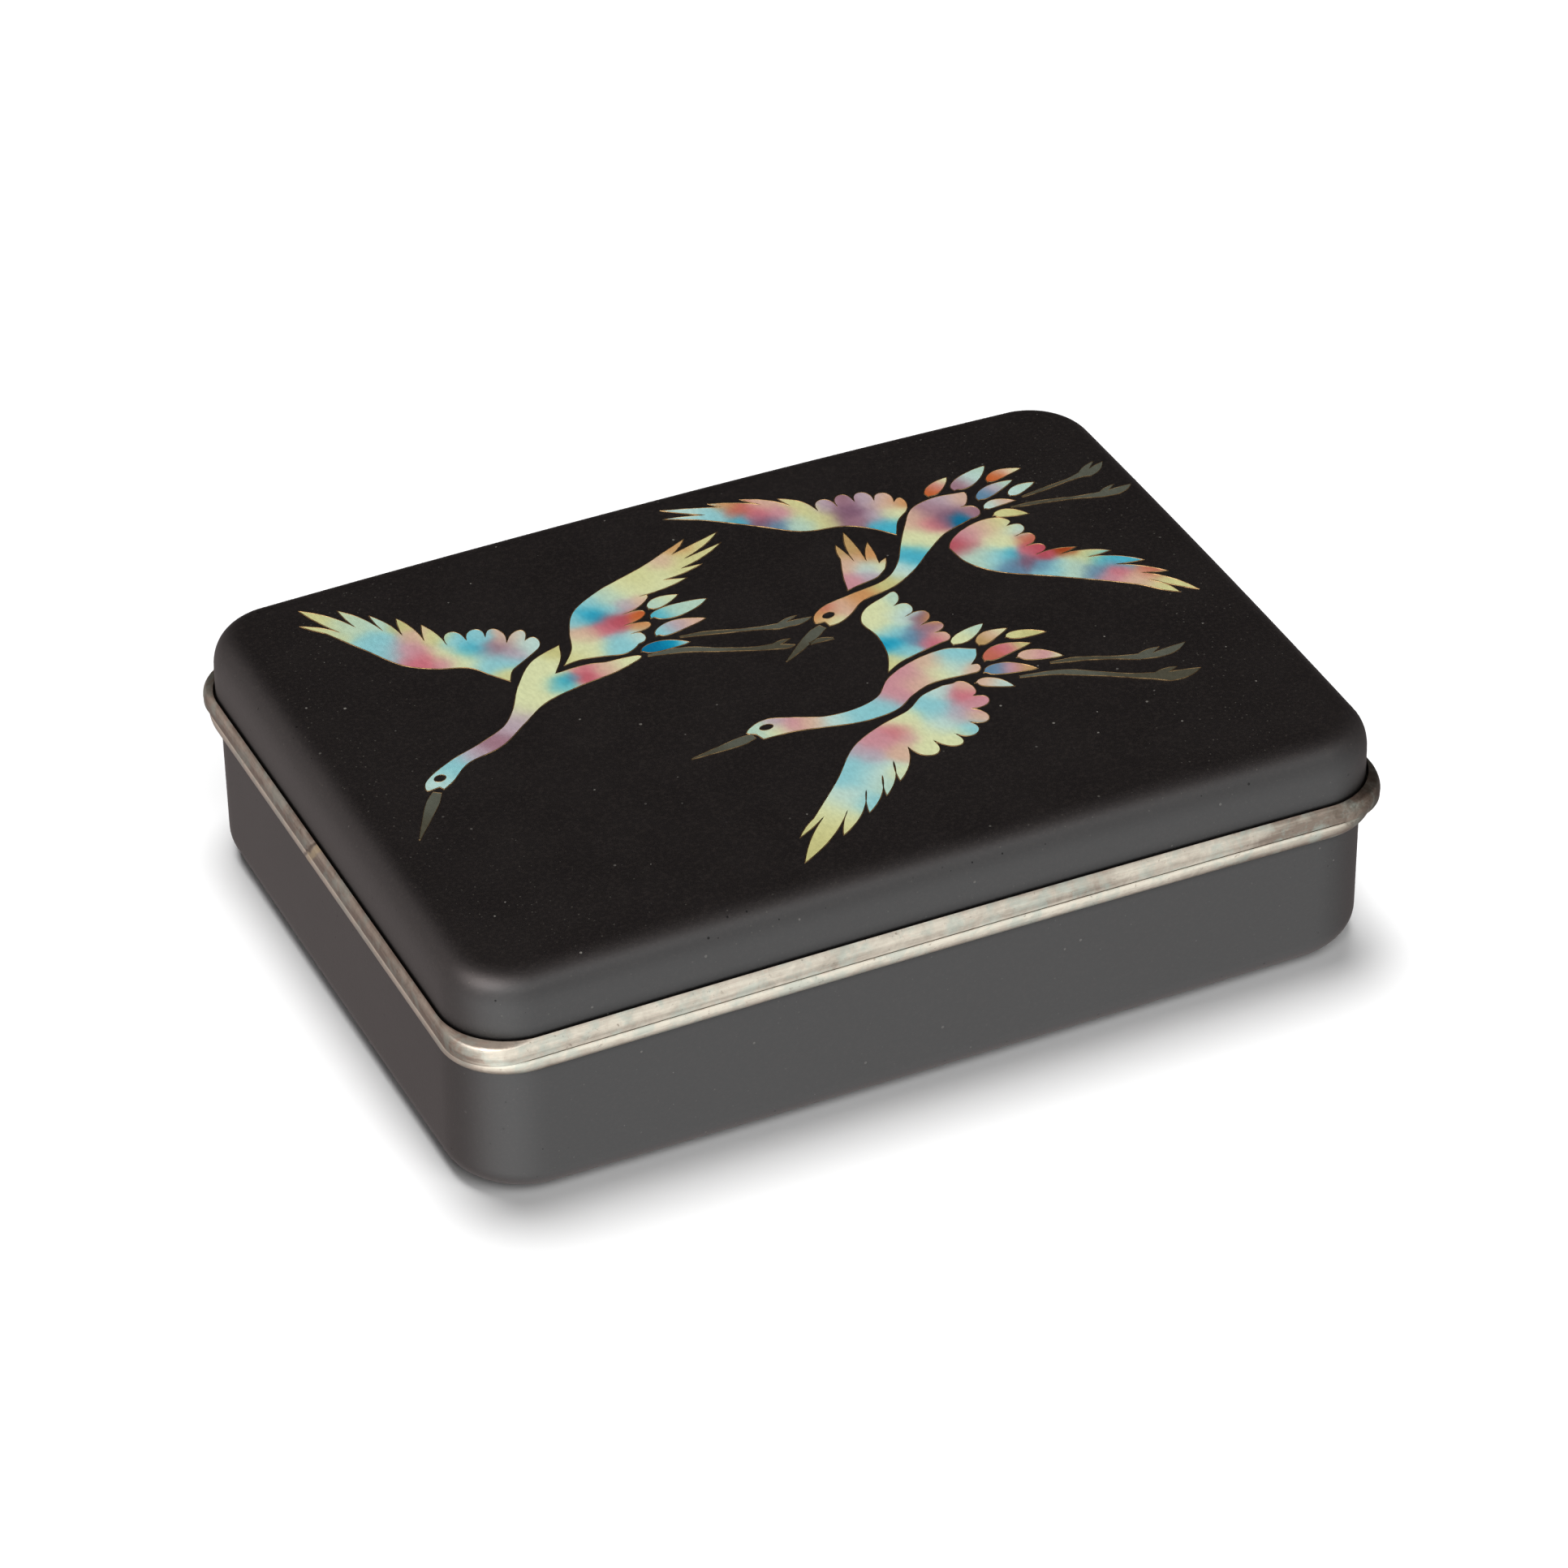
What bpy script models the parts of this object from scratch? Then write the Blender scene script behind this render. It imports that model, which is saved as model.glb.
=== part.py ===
"""Cloisonne box: an enamelled copper tray and lid with rounded corners, closed by two silver rims.

Frame: X along the long side, Y along the depth (the front is -Y), Z up, origin in the middle of the underside.
All driving sizes are in millimetres and turned into metres by MM.
"""

import math

import bmesh
import bpy

MM = 0.001

# plan of the rims, the widest part of the box
HALF_X = 60.0          # half the length over the rims
HALF_Y = 43.75         # half the depth over the rims
RIM_CORNER = 6.6       # plan corner radius of the upper rim
BOW = 0.30             # how far a long side bulges in its middle
ARCH = 0.70            # how far the seam rises in the middle of a long side

# enamelled tray
WALL = 1.6             # enamel, copper and enamel
BASE_INSET = 0.95      # tray wall behind the rim's outermost line
BASE_CORNER = 9.5      # plan corner radius of the tray wall
BASE_TAPER = 0.05      # the wall leans in by this much towards the foot
BASE_ROLL = 4.0        # radius of the rolled bottom edge
BASE_TOP = 19.45       # top edge of the tray, inside the rim
CORNER_KEEP = 0.6      # how fast a corner tightens as the roll draws in

# enamelled lid
LID_INSET = 0.8
LID_CORNER = 8.55
LID_FOOT = 22.2        # lower edge of the lid, inside the rim
LID_ROLL_START = 26.46
LID_TOP = 31.05        # where the top edge's roll ends
LID_ROLL_IN = 4.25     # how far the roll draws in
LID_ROLL_POWER = 2.46  # 2 is an ellipse, higher is squarer
LID_FLAT = 0.34        # the dome is this much flatter than the seam's arch asks

# silver rims
GAP = 0.3              # clearance between neighbouring pieces
BASE_RIM_INSET = 0.12  # the lower rim stands back from the upper one, more so at the corners
BASE_RIM_CORNER = 8.3
BASE_RIM_FOOT = 18.65
BASE_RIM_TOP = 20.55
LID_RIM_FOOT = BASE_RIM_TOP + GAP
LID_RIM_TOP = 23.4
UPSTAND = 0.6          # thickness of the rims' inner parts
COLLAR_TOP = 24.0      # the base rim's collar stands this high inside the lid
COLLAR_CORNER = 4.6

# fineness of the outline
CORNER_STEPS = 8
LONG_STEPS = 6
SHORT_STEPS = 4


def superpower(value, power):
    return math.copysign(abs(value) ** power, value)


def outline(inset, corner, z, arch=1.0, flat=0.0):
    """A closed ring of points: a rounded rectangle with bowed sides, drawn in by inset from the rims' outer line."""
    a, b = HALF_X - inset, HALF_Y - inset
    r = min(max(corner, 0.5), b)
    ring = []
    for turn, (sx, sy) in enumerate(((1, 1), (-1, 1), (-1, -1), (1, -1))):
        cx, cy = sx * (a - r), sy * (b - r)
        start = turn * math.pi / 2
        for i in range(CORNER_STEPS + 1):
            t = start + math.pi / 2 * i / CORNER_STEPS
            ring.append((cx + r * math.cos(t), cy + r * math.sin(t)))
        steps = LONG_STEPS if turn % 2 == 0 else SHORT_STEPS
        nx, ny = ((-1, 1), (-1, -1), (1, -1), (1, 1))[turn]
        x0, y0 = ring[-1]
        if turn % 2 == 0:
            x1, y1 = nx * (a - r), y0
        else:
            x1, y1 = x0, ny * (b - r)
        for i in range(1, steps):
            s = i / steps
            ring.append((x0 + (x1 - x0) * s, y0 + (y1 - y0) * s))
    out = []
    for x, y in ring:
        u, v = x / a, y / b
        bx = BOW * (b / a) ** 2 * max(0.0, 1 - v * v) * superpower(u, 4) * (1 if u else 0)
        by = BOW * max(0.0, 1 - u * u) * superpower(v, 4) * (1 if v else 0)
        px, py = x + bx, y + by
        fx, fy = px / HALF_X, py / HALF_Y
        rise = ARCH * arch * ((1 - fx * fx) + (1 - fy * fy) * (HALF_Y / HALF_X) ** 2)
        rise -= flat * (1 - fx * fx) * (1 - fy * fy)
        out.append((px * MM, py * MM, (z + rise) * MM))
    return out


def arch_at(z):
    """The seam's arch dies away towards the flat underside."""
    t = min(max(z / BASE_RIM_FOOT, 0.0), 1.0)
    return t * t * (3 - 2 * t)


def loft(name, rings, closed=False, pole=None):
    """Skins a run of rings. closed joins the last ring to the first, pole closes the last ring on one middle point."""
    bm = bmesh.new()
    rows = [[bm.verts.new(p) for p in ring] for ring in rings]
    n = len(rows[0])
    pairs = list(zip(rows[:-1], rows[1:])) + ([(rows[-1], rows[0])] if closed else [])
    for low, high in pairs:
        for i in range(n):
            j = (i + 1) % n
            bm.faces.new((low[i], low[j], high[j], high[i]))
    if pole is not None:
        tip = bm.verts.new(pole)
        for i in range(n):
            bm.faces.new((rows[-1][i], rows[-1][(i + 1) % n], tip))
    bmesh.ops.recalc_face_normals(bm, faces=bm.faces[:])
    mesh = bpy.data.meshes.new(name)
    bm.to_mesh(mesh)
    bm.free()
    mesh.shade_smooth()
    mesh.set_sharp_from_angle(angle=math.radians(40))
    return bpy.data.objects.new(name, mesh)


def material(name, colour, metallic, roughness):
    mat = bpy.data.materials.new(name)
    mat.use_nodes = True
    shader = mat.node_tree.nodes["Principled BSDF"]
    shader.inputs["Base Color"].default_value = (*colour, 1)
    shader.inputs["Metallic"].default_value = metallic
    shader.inputs["Roughness"].default_value = roughness
    return mat


def add_shell(obj, inward):
    """Thickens an open skin by WALL on its inner side."""
    mod = obj.modifiers.new("wall", "SOLIDIFY")
    mod.thickness = WALL * MM
    mod.offset = inward
    mod.use_even_offset = True
    mod.use_quality_normals = True
    return obj


def base_box():
    """The tray's outer skin from its top edge down the wall, round the rolled edge and across the flat underside."""
    rings = []
    for z in (BASE_TOP, (BASE_TOP + BASE_ROLL) / 2, BASE_ROLL):
        lean = BASE_TAPER * (BASE_TOP - z) / (BASE_TOP - BASE_ROLL)
        rings.append(outline(BASE_INSET + lean, BASE_CORNER, z, arch_at(z)))
    steps = 5
    for i in range(1, steps + 1):
        t = math.pi / 2 * i / steps
        draw = BASE_ROLL * (1 - math.cos(t))
        z = BASE_ROLL * (1 - math.sin(t))
        if i == steps:
            z = 0.0
        rings.append(outline(BASE_INSET + BASE_TAPER + draw, BASE_CORNER - CORNER_KEEP * draw, z, arch_at(z)))
    inner = BASE_INSET + BASE_TAPER + BASE_ROLL
    rings.append(outline(inner + 14.0, 3.0, 0.0, 0.0))
    return add_shell(loft("base_box", rings, pole=(0, 0, 0)), -1)


def lid():
    """The lid's outer skin from its lower edge up the wall, round the rolled edge and over the slightly domed top."""
    rings = [outline(LID_INSET, LID_CORNER, z) for z in (LID_FOOT, LID_ROLL_START)]
    high = LID_TOP - LID_ROLL_START
    steps = 6
    for i in range(1, steps + 1):
        t = math.pi / 2 * i / steps
        draw = LID_ROLL_IN * (1 - superpower(math.cos(t), 2 / LID_ROLL_POWER) if i < steps else 1)
        z = LID_ROLL_START + high * superpower(math.sin(t), 2 / LID_ROLL_POWER)
        share = (z - LID_RIM_TOP) / (LID_TOP - LID_RIM_TOP)
        rings.append(outline(LID_INSET + draw, LID_CORNER - 1.07 * draw, z, 1.0, LID_FLAT * share))
    edge = LID_INSET + LID_ROLL_IN
    for extra in (9.0, 20.0, 32.0):
        rings.append(outline(edge + extra, 4.0, LID_TOP, 1.0, LID_FLAT))
    rise = ARCH * (1 + (HALF_Y / HALF_X) ** 2) - LID_FLAT
    return add_shell(loft("lid", rings, pole=(0, 0, (LID_TOP + rise) * MM)), -1)


def base_rim():
    """Silver band round the tray's top edge: rounded outside, rebated for the wall, with an upright collar inside."""
    skirt = BASE_INSET - GAP
    behind = BASE_INSET + WALL + GAP
    inside = LID_INSET + WALL + GAP + UPSTAND + GAP      # clear of the lid rim's inner face
    collar = inside + UPSTAND
    roof = BASE_TOP + GAP
    wall_r = BASE_CORNER + GAP
    profile = [
        (BASE_RIM_INSET + 0.12, BASE_RIM_CORNER, BASE_RIM_TOP),
        (BASE_RIM_INSET, BASE_RIM_CORNER, BASE_RIM_TOP - 0.14),
        (BASE_RIM_INSET, BASE_RIM_CORNER, BASE_RIM_TOP - 0.62),
        (BASE_RIM_INSET + 0.05, BASE_RIM_CORNER, BASE_RIM_TOP - 1.10),
        (BASE_RIM_INSET + 0.15, BASE_RIM_CORNER, BASE_RIM_TOP - 1.55),
        (BASE_RIM_INSET + 0.33, BASE_RIM_CORNER, BASE_RIM_FOOT),
        (skirt, wall_r, BASE_RIM_FOOT),
        (skirt, wall_r, roof),
        (behind, wall_r - WALL - 2 * GAP, roof),
        (behind, wall_r - WALL - 2 * GAP, roof - 1.6),
        (collar, COLLAR_CORNER, roof - 1.6),
        (collar, COLLAR_CORNER, COLLAR_TOP),
        (inside, COLLAR_CORNER + UPSTAND, COLLAR_TOP),
        (inside, COLLAR_CORNER + UPSTAND, BASE_RIM_TOP),
    ]
    return loft("base_rim", [outline(i, r, z) for i, r, z in profile], closed=True)


def lid_rim():
    """Silver moulding under the lid's edge: a narrow upright band, a shallow step and a rounded slope to the wall."""
    lip = LID_INSET - GAP
    wall_r = LID_CORNER + GAP
    behind = LID_INSET + WALL + GAP
    inside = behind + UPSTAND
    floor = LID_FOOT - GAP
    profile = [
        (0.08, RIM_CORNER, LID_RIM_FOOT),
        (0.00, RIM_CORNER, LID_RIM_FOOT + 0.10),
        (0.00, RIM_CORNER, LID_RIM_FOOT + 0.66),
        (0.14, RIM_CORNER, LID_RIM_FOOT + 0.76),
        (0.06, RIM_CORNER, LID_RIM_FOOT + 0.90),
        (0.06, RIM_CORNER, LID_RIM_FOOT + 1.40),
        (0.14, RIM_CORNER + 0.1, LID_RIM_FOOT + 1.90),
        (0.28, RIM_CORNER + 0.3, LID_RIM_FOOT + 2.27),
        (lip, wall_r, LID_RIM_TOP),
        (lip, wall_r, floor),
        (behind, wall_r - WALL - 2 * GAP, floor),
        (behind, wall_r - WALL - 2 * GAP, LID_RIM_TOP + 0.4),
        (inside, COLLAR_CORNER + UPSTAND + GAP, LID_RIM_TOP + 0.4),
        (inside, COLLAR_CORNER + UPSTAND + GAP, LID_RIM_FOOT),
    ]
    return loft("lid_rim", [outline(i, r, z) for i, r, z in profile], closed=True)


def main():
    for obj in list(bpy.data.objects):
        bpy.data.objects.remove(obj, do_unlink=True)
    parts = bpy.data.collections.new("cloisonne_box")
    bpy.context.scene.collection.children.link(parts)
    enamel = material("black_enamel", (0.012, 0.011, 0.011), 0.0, 0.42)
    lid_enamel = material("lid_enamel", (0.012, 0.011, 0.011), 0.0, 0.42)
    silver = material("base_silver", (0.62, 0.58, 0.54), 1.0, 0.34)
    lid_silver = material("lid_silver", (0.62, 0.58, 0.54), 1.0, 0.34)
    for obj, mat in ((base_box(), enamel), (base_rim(), silver), (lid(), lid_enamel), (lid_rim(), lid_silver)):
        obj.data.materials.append(mat)
        parts.objects.link(obj)


main()
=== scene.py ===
"""Looks of a small cloisonne box: satin black enamel, tarnished silver rims and three flying cranes inlaid in the lid.

Sizes are in millimetres in the row's frame (X along the long side, the front is -Y, Z up) and turned into metres by MM.
"""

import math
import random

import bmesh
import bpy
import numpy as np
from mathutils import Matrix, Vector, noise
from mathutils.geometry import delaunay_2d_cdt


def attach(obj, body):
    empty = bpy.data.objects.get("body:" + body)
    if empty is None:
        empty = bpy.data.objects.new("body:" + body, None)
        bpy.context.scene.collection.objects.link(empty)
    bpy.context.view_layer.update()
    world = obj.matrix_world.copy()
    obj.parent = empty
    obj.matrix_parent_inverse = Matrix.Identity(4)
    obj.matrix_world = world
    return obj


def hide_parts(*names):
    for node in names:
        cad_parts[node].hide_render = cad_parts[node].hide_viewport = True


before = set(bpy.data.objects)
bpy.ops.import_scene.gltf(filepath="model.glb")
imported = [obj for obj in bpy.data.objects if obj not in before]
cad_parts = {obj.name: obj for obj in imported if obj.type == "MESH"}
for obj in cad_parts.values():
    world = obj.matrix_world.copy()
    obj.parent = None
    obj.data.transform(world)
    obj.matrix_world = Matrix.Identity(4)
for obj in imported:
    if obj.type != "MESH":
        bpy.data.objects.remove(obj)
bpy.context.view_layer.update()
scene = bpy.context.scene
scene.view_settings.view_transform = "Standard"
random.seed(7)

MM = 0.001

# ---------------------------------------------------------------- sizes of the box, as in the CAD
HALF_X, HALF_Y = 60.0, 43.75
RIM_CORNER = 6.6
BOW, ARCH = 0.30, 0.70
WALL = 1.6
BASE_INSET, BASE_CORNER, BASE_TAPER, BASE_ROLL, BASE_TOP = 0.95, 9.5, 0.05, 4.0, 19.45
CORNER_KEEP = 0.6
LID_INSET, LID_CORNER, LID_FOOT, LID_ROLL_START, LID_TOP = 0.8, 8.55, 22.2, 26.46, 31.05
LID_ROLL_IN, LID_ROLL_POWER, LID_FLAT = 4.25, 2.46, 0.34
GAP = 0.3
BASE_RIM_INSET, BASE_RIM_CORNER, BASE_RIM_FOOT, BASE_RIM_TOP = 0.12, 8.3, 18.65, 20.55
LID_RIM_FOOT, LID_RIM_TOP = BASE_RIM_TOP + GAP, 23.4
UPSTAND, COLLAR_TOP, COLLAR_CORNER = 0.6, 24.0, 4.6

SOLDER_Y = 2.2         # where the old joint crosses the upper rim on the left side

# fineness of the visible skins
CORNER_STEPS, LONG_STEPS, SHORT_STEPS = 20, 40, 28


# ---------------------------------------------------------------- camera
def place_camera():
    az, el, roll = math.radians(-24.7207), math.radians(35.3011), math.radians(-0.74975)
    focal, distance, slide_x, slide_y = 7914.483, 774.3877, 0.1167, 2.4428
    back = Vector((math.sin(az) * math.cos(el), -math.cos(az) * math.cos(el), math.sin(el)))
    right = (-back).cross(Vector((0, 0, 1))).normalized()
    up = right.cross(-back)
    side = math.cos(roll) * right + math.sin(roll) * up
    top = -math.sin(roll) * right + math.cos(roll) * up
    spot = Vector((0, 0, 18.0)) + back * distance - side * slide_x - top * slide_y
    data = bpy.data.cameras.new("camera")
    data.sensor_width = 36.0
    data.lens = focal / 1932 * 36.0
    data.clip_start, data.clip_end = 0.05, 20.0
    cam = bpy.data.objects.new("camera", data)
    cam.matrix_world = Matrix((
        (side.x, top.x, back.x, spot.x * MM),
        (side.y, top.y, back.y, spot.y * MM),
        (side.z, top.z, back.z, spot.z * MM),
        (0, 0, 0, 1)))
    scene.collection.objects.link(cam)
    scene.camera = cam


# ---------------------------------------------------------------- node helpers
class Tree:
    """A short way to write a node tree."""

    def __init__(self, mat):
        mat.use_nodes = True
        self.nt = mat.node_tree
        self.nt.nodes.clear()

    def add(self, kind, props=None, **inputs):
        node = self.nt.nodes.new(kind)
        for key, value in (props or {}).items():
            setattr(node, key, value)
        for key, value in inputs.items():
            self.set(node, key.replace("_", " "), value)
        return node

    def set(self, node, key, value):
        socket = node.inputs[key] if not isinstance(key, int) else node.inputs[key]
        if isinstance(value, bpy.types.NodeSocket):
            self.nt.links.new(value, socket)
        else:
            socket.default_value = value

    def math(self, op, a, b=None, c=None, clamp=False):
        node = self.nt.nodes.new("ShaderNodeMath")
        node.operation, node.use_clamp = op, clamp
        for i, v in enumerate((a, b, c)):
            if v is not None:
                self.set(node, i, v)
        return node.outputs[0]

    def spot(self, scale=(1, 1, 1)):
        """The point on the piece in millimetres, stretched by scale."""
        coord = self.add("ShaderNodeTexCoord")
        mapping = self.add("ShaderNodeMapping")
        mapping.inputs["Scale"].default_value = [s * 1000 for s in scale]
        self.nt.links.new(coord.outputs["Object"], mapping.inputs["Vector"])
        return mapping.outputs["Vector"]

    def seam_height(self):
        """Height in millimetres with the gentle arch of the seam taken away, so that bands follow the rims."""
        axes = self.add("ShaderNodeSeparateXYZ")
        self.nt.links.new(self.spot(), axes.inputs[0])
        u = self.math("POWER", self.math("DIVIDE", axes.outputs[0], HALF_X), 2.0)
        v = self.math("POWER", self.math("DIVIDE", axes.outputs[1], HALF_Y), 2.0)
        side = (HALF_Y / HALF_X) ** 2
        fall = self.math("MULTIPLY_ADD", v, ARCH * side, self.math("MULTIPLY", u, ARCH))
        return self.math("ADD", self.math("SUBTRACT", axes.outputs[2], ARCH * (1 + side)), fall), axes

    def noise(self, vector, scale, detail=4.0, rough=0.5, distort=0.0, four=None):
        node = self.add("ShaderNodeTexNoise")
        if four is not None:
            node.noise_dimensions = "4D"
            node.inputs["W"].default_value = four
        self.nt.links.new(vector, node.inputs["Vector"])
        node.inputs["Scale"].default_value = scale
        node.inputs["Detail"].default_value = detail
        node.inputs["Roughness"].default_value = rough
        node.inputs["Distortion"].default_value = distort
        return node.outputs["Fac"]

    def ramp(self, value, low, high, to_low=0.0, to_high=1.0, smooth=True):
        node = self.add("ShaderNodeMapRange")
        node.interpolation_type = "SMOOTHSTEP" if smooth else "LINEAR"
        self.nt.links.new(value, node.inputs["Value"])
        for key, v in (("From Min", low), ("From Max", high), ("To Min", to_low), ("To Max", to_high)):
            node.inputs[key].default_value = v
        return node.outputs["Result"]

    def mix(self, factor, a, b):
        node = self.add("ShaderNodeMix", {"data_type": "RGBA"})
        self.set(node, 0, factor)
        for i, v in ((6, a), (7, b)):
            if isinstance(v, bpy.types.NodeSocket):
                self.nt.links.new(v, node.inputs[i])
            else:
                node.inputs[i].default_value = (*v, 1.0)
        return node.outputs[2]

    def bump(self, height, distance_mm, strength=1.0, normal=None):
        node = self.add("ShaderNodeBump")
        node.inputs["Strength"].default_value = strength
        node.inputs["Distance"].default_value = distance_mm * MM
        self.nt.links.new(height, node.inputs["Height"])
        if normal is not None:
            self.nt.links.new(normal, node.inputs["Normal"])
        return node.outputs["Normal"]

    def finish(self, **inputs):
        shader = self.nt.nodes.new("ShaderNodeBsdfPrincipled")
        for key, value in inputs.items():
            self.set(shader, key.replace("_", " "), value)
        out = self.nt.nodes.new("ShaderNodeOutputMaterial")
        self.nt.links.new(shader.outputs[0], out.inputs[0])


def linear(r, g, b):
    """Display colour 0-255 to scene-linear."""
    def one(v):
        v /= 255.0
        return v / 12.92 if v <= 0.04045 else ((v + 0.055) / 1.055) ** 2.4
    return one(r), one(g), one(b)


# ---------------------------------------------------------------- materials
def black_enamel(name, seed=0.0):
    """Satin black enamel: faint mottling, tiny pale specks, open pits and a few short hairline scratches."""
    mat = bpy.data.materials.new(name)
    t = Tree(mat)
    p = t.spot()
    high, axes = t.seam_height()
    cloud = t.noise(p, 0.10, 3.0, 0.5, 0.0, seed)
    grain = t.noise(p, 2.1, 5.0, 0.72)
    fine = t.noise(p, 7.0, 3.0, 0.6)

    def grains(scale, share, radius, channel):
        """Scattered round grains: thinned-out cells, each with a heart of its own size."""
        cells = t.add("ShaderNodeTexVoronoi", {"feature": "F1"})
        t.set(cells, "Vector", p)
        t.set(cells, "Scale", scale)
        size = t.add("ShaderNodeSeparateColor")
        t.set(size, "Color", cells.outputs["Color"])
        reach = t.ramp(size.outputs[channel], 1.0 - share, 1.0, 0.0, radius * scale, smooth=False)
        hit = t.math("LESS_THAN", cells.outputs["Distance"], reach)
        return t.math("MULTIPLY", hit, t.ramp(size.outputs[(channel + 1) % 3], 0.0, 1.0, 0.25, 1.0))

    speck = grains(0.50, 0.50, 0.19, 0)
    mote = grains(1.30, 0.70, 0.115, 2)
    pit = grains(0.80, 0.45, 0.17, 1)
    # hairlines: thin slanted streaks, mostly broken up
    hair = t.noise(t.spot((0.9, 0.06, 0.9)), 1.6, 2.0, 0.5, 0.2)
    line = t.ramp(t.math("ABSOLUTE", t.math("SUBTRACT", hair, 0.5)), 0.0, 0.0030, 1.0, 0.0)
    gate = t.ramp(t.noise(p, 0.22, 2.0, 0.5, 0.0, 4.0), 0.60, 0.68)
    scratch = t.math("MULTIPLY", line, gate)
    base = t.mix(t.ramp(cloud, 0.35, 0.65), (0.0026, 0.0019, 0.0019), (0.0036, 0.0028, 0.0027))
    base = t.mix(t.ramp(grain, 0.44, 0.70, 0.0, 0.62), base, (0.0135, 0.0108, 0.0095))
    base = t.mix(t.math("MULTIPLY", pit, 0.9), base, (0.0004, 0.0004, 0.0004))
    base = t.mix(t.math("MULTIPLY", mote, 0.42), base, (0.085, 0.080, 0.068))
    base = t.mix(t.math("MULTIPLY", speck, 0.60), base, (0.21, 0.20, 0.18))
    base = t.mix(t.math("MULTIPLY", scratch, 0.16), base, (0.12, 0.115, 0.11))
    rough = t.math("ADD", t.ramp(cloud, 0.3, 0.7, 0.385, 0.405), t.math("MULTIPLY", fine, 0.06))
    # painted shade: the gloss is turned down just above the upper rim, so the wall darkens along the crease
    gloss = t.ramp(t.math("ABSOLUTE", t.math("SUBTRACT", high, 22.6)), 0.2, 2.6, 0.30, 0.50)
    gloss = t.math("MULTIPLY", gloss, t.math("SUBTRACT", 1.0, t.math("MULTIPLY", pit, 0.6)))
    height = t.math("SUBTRACT", t.math("MULTIPLY", grain, 0.75), t.math("MULTIPLY", pit, 0.7))
    height = t.math("ADD", height, t.math("MULTIPLY", fine, 0.30))
    height = t.math("ADD", height, t.math("MULTIPLY", speck, 0.4))
    t.finish(Base_Color=base, Roughness=rough, IOR=1.7, Specular_IOR_Level=gloss, Normal=t.bump(height, 0.035, 0.7))
    return mat


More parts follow.
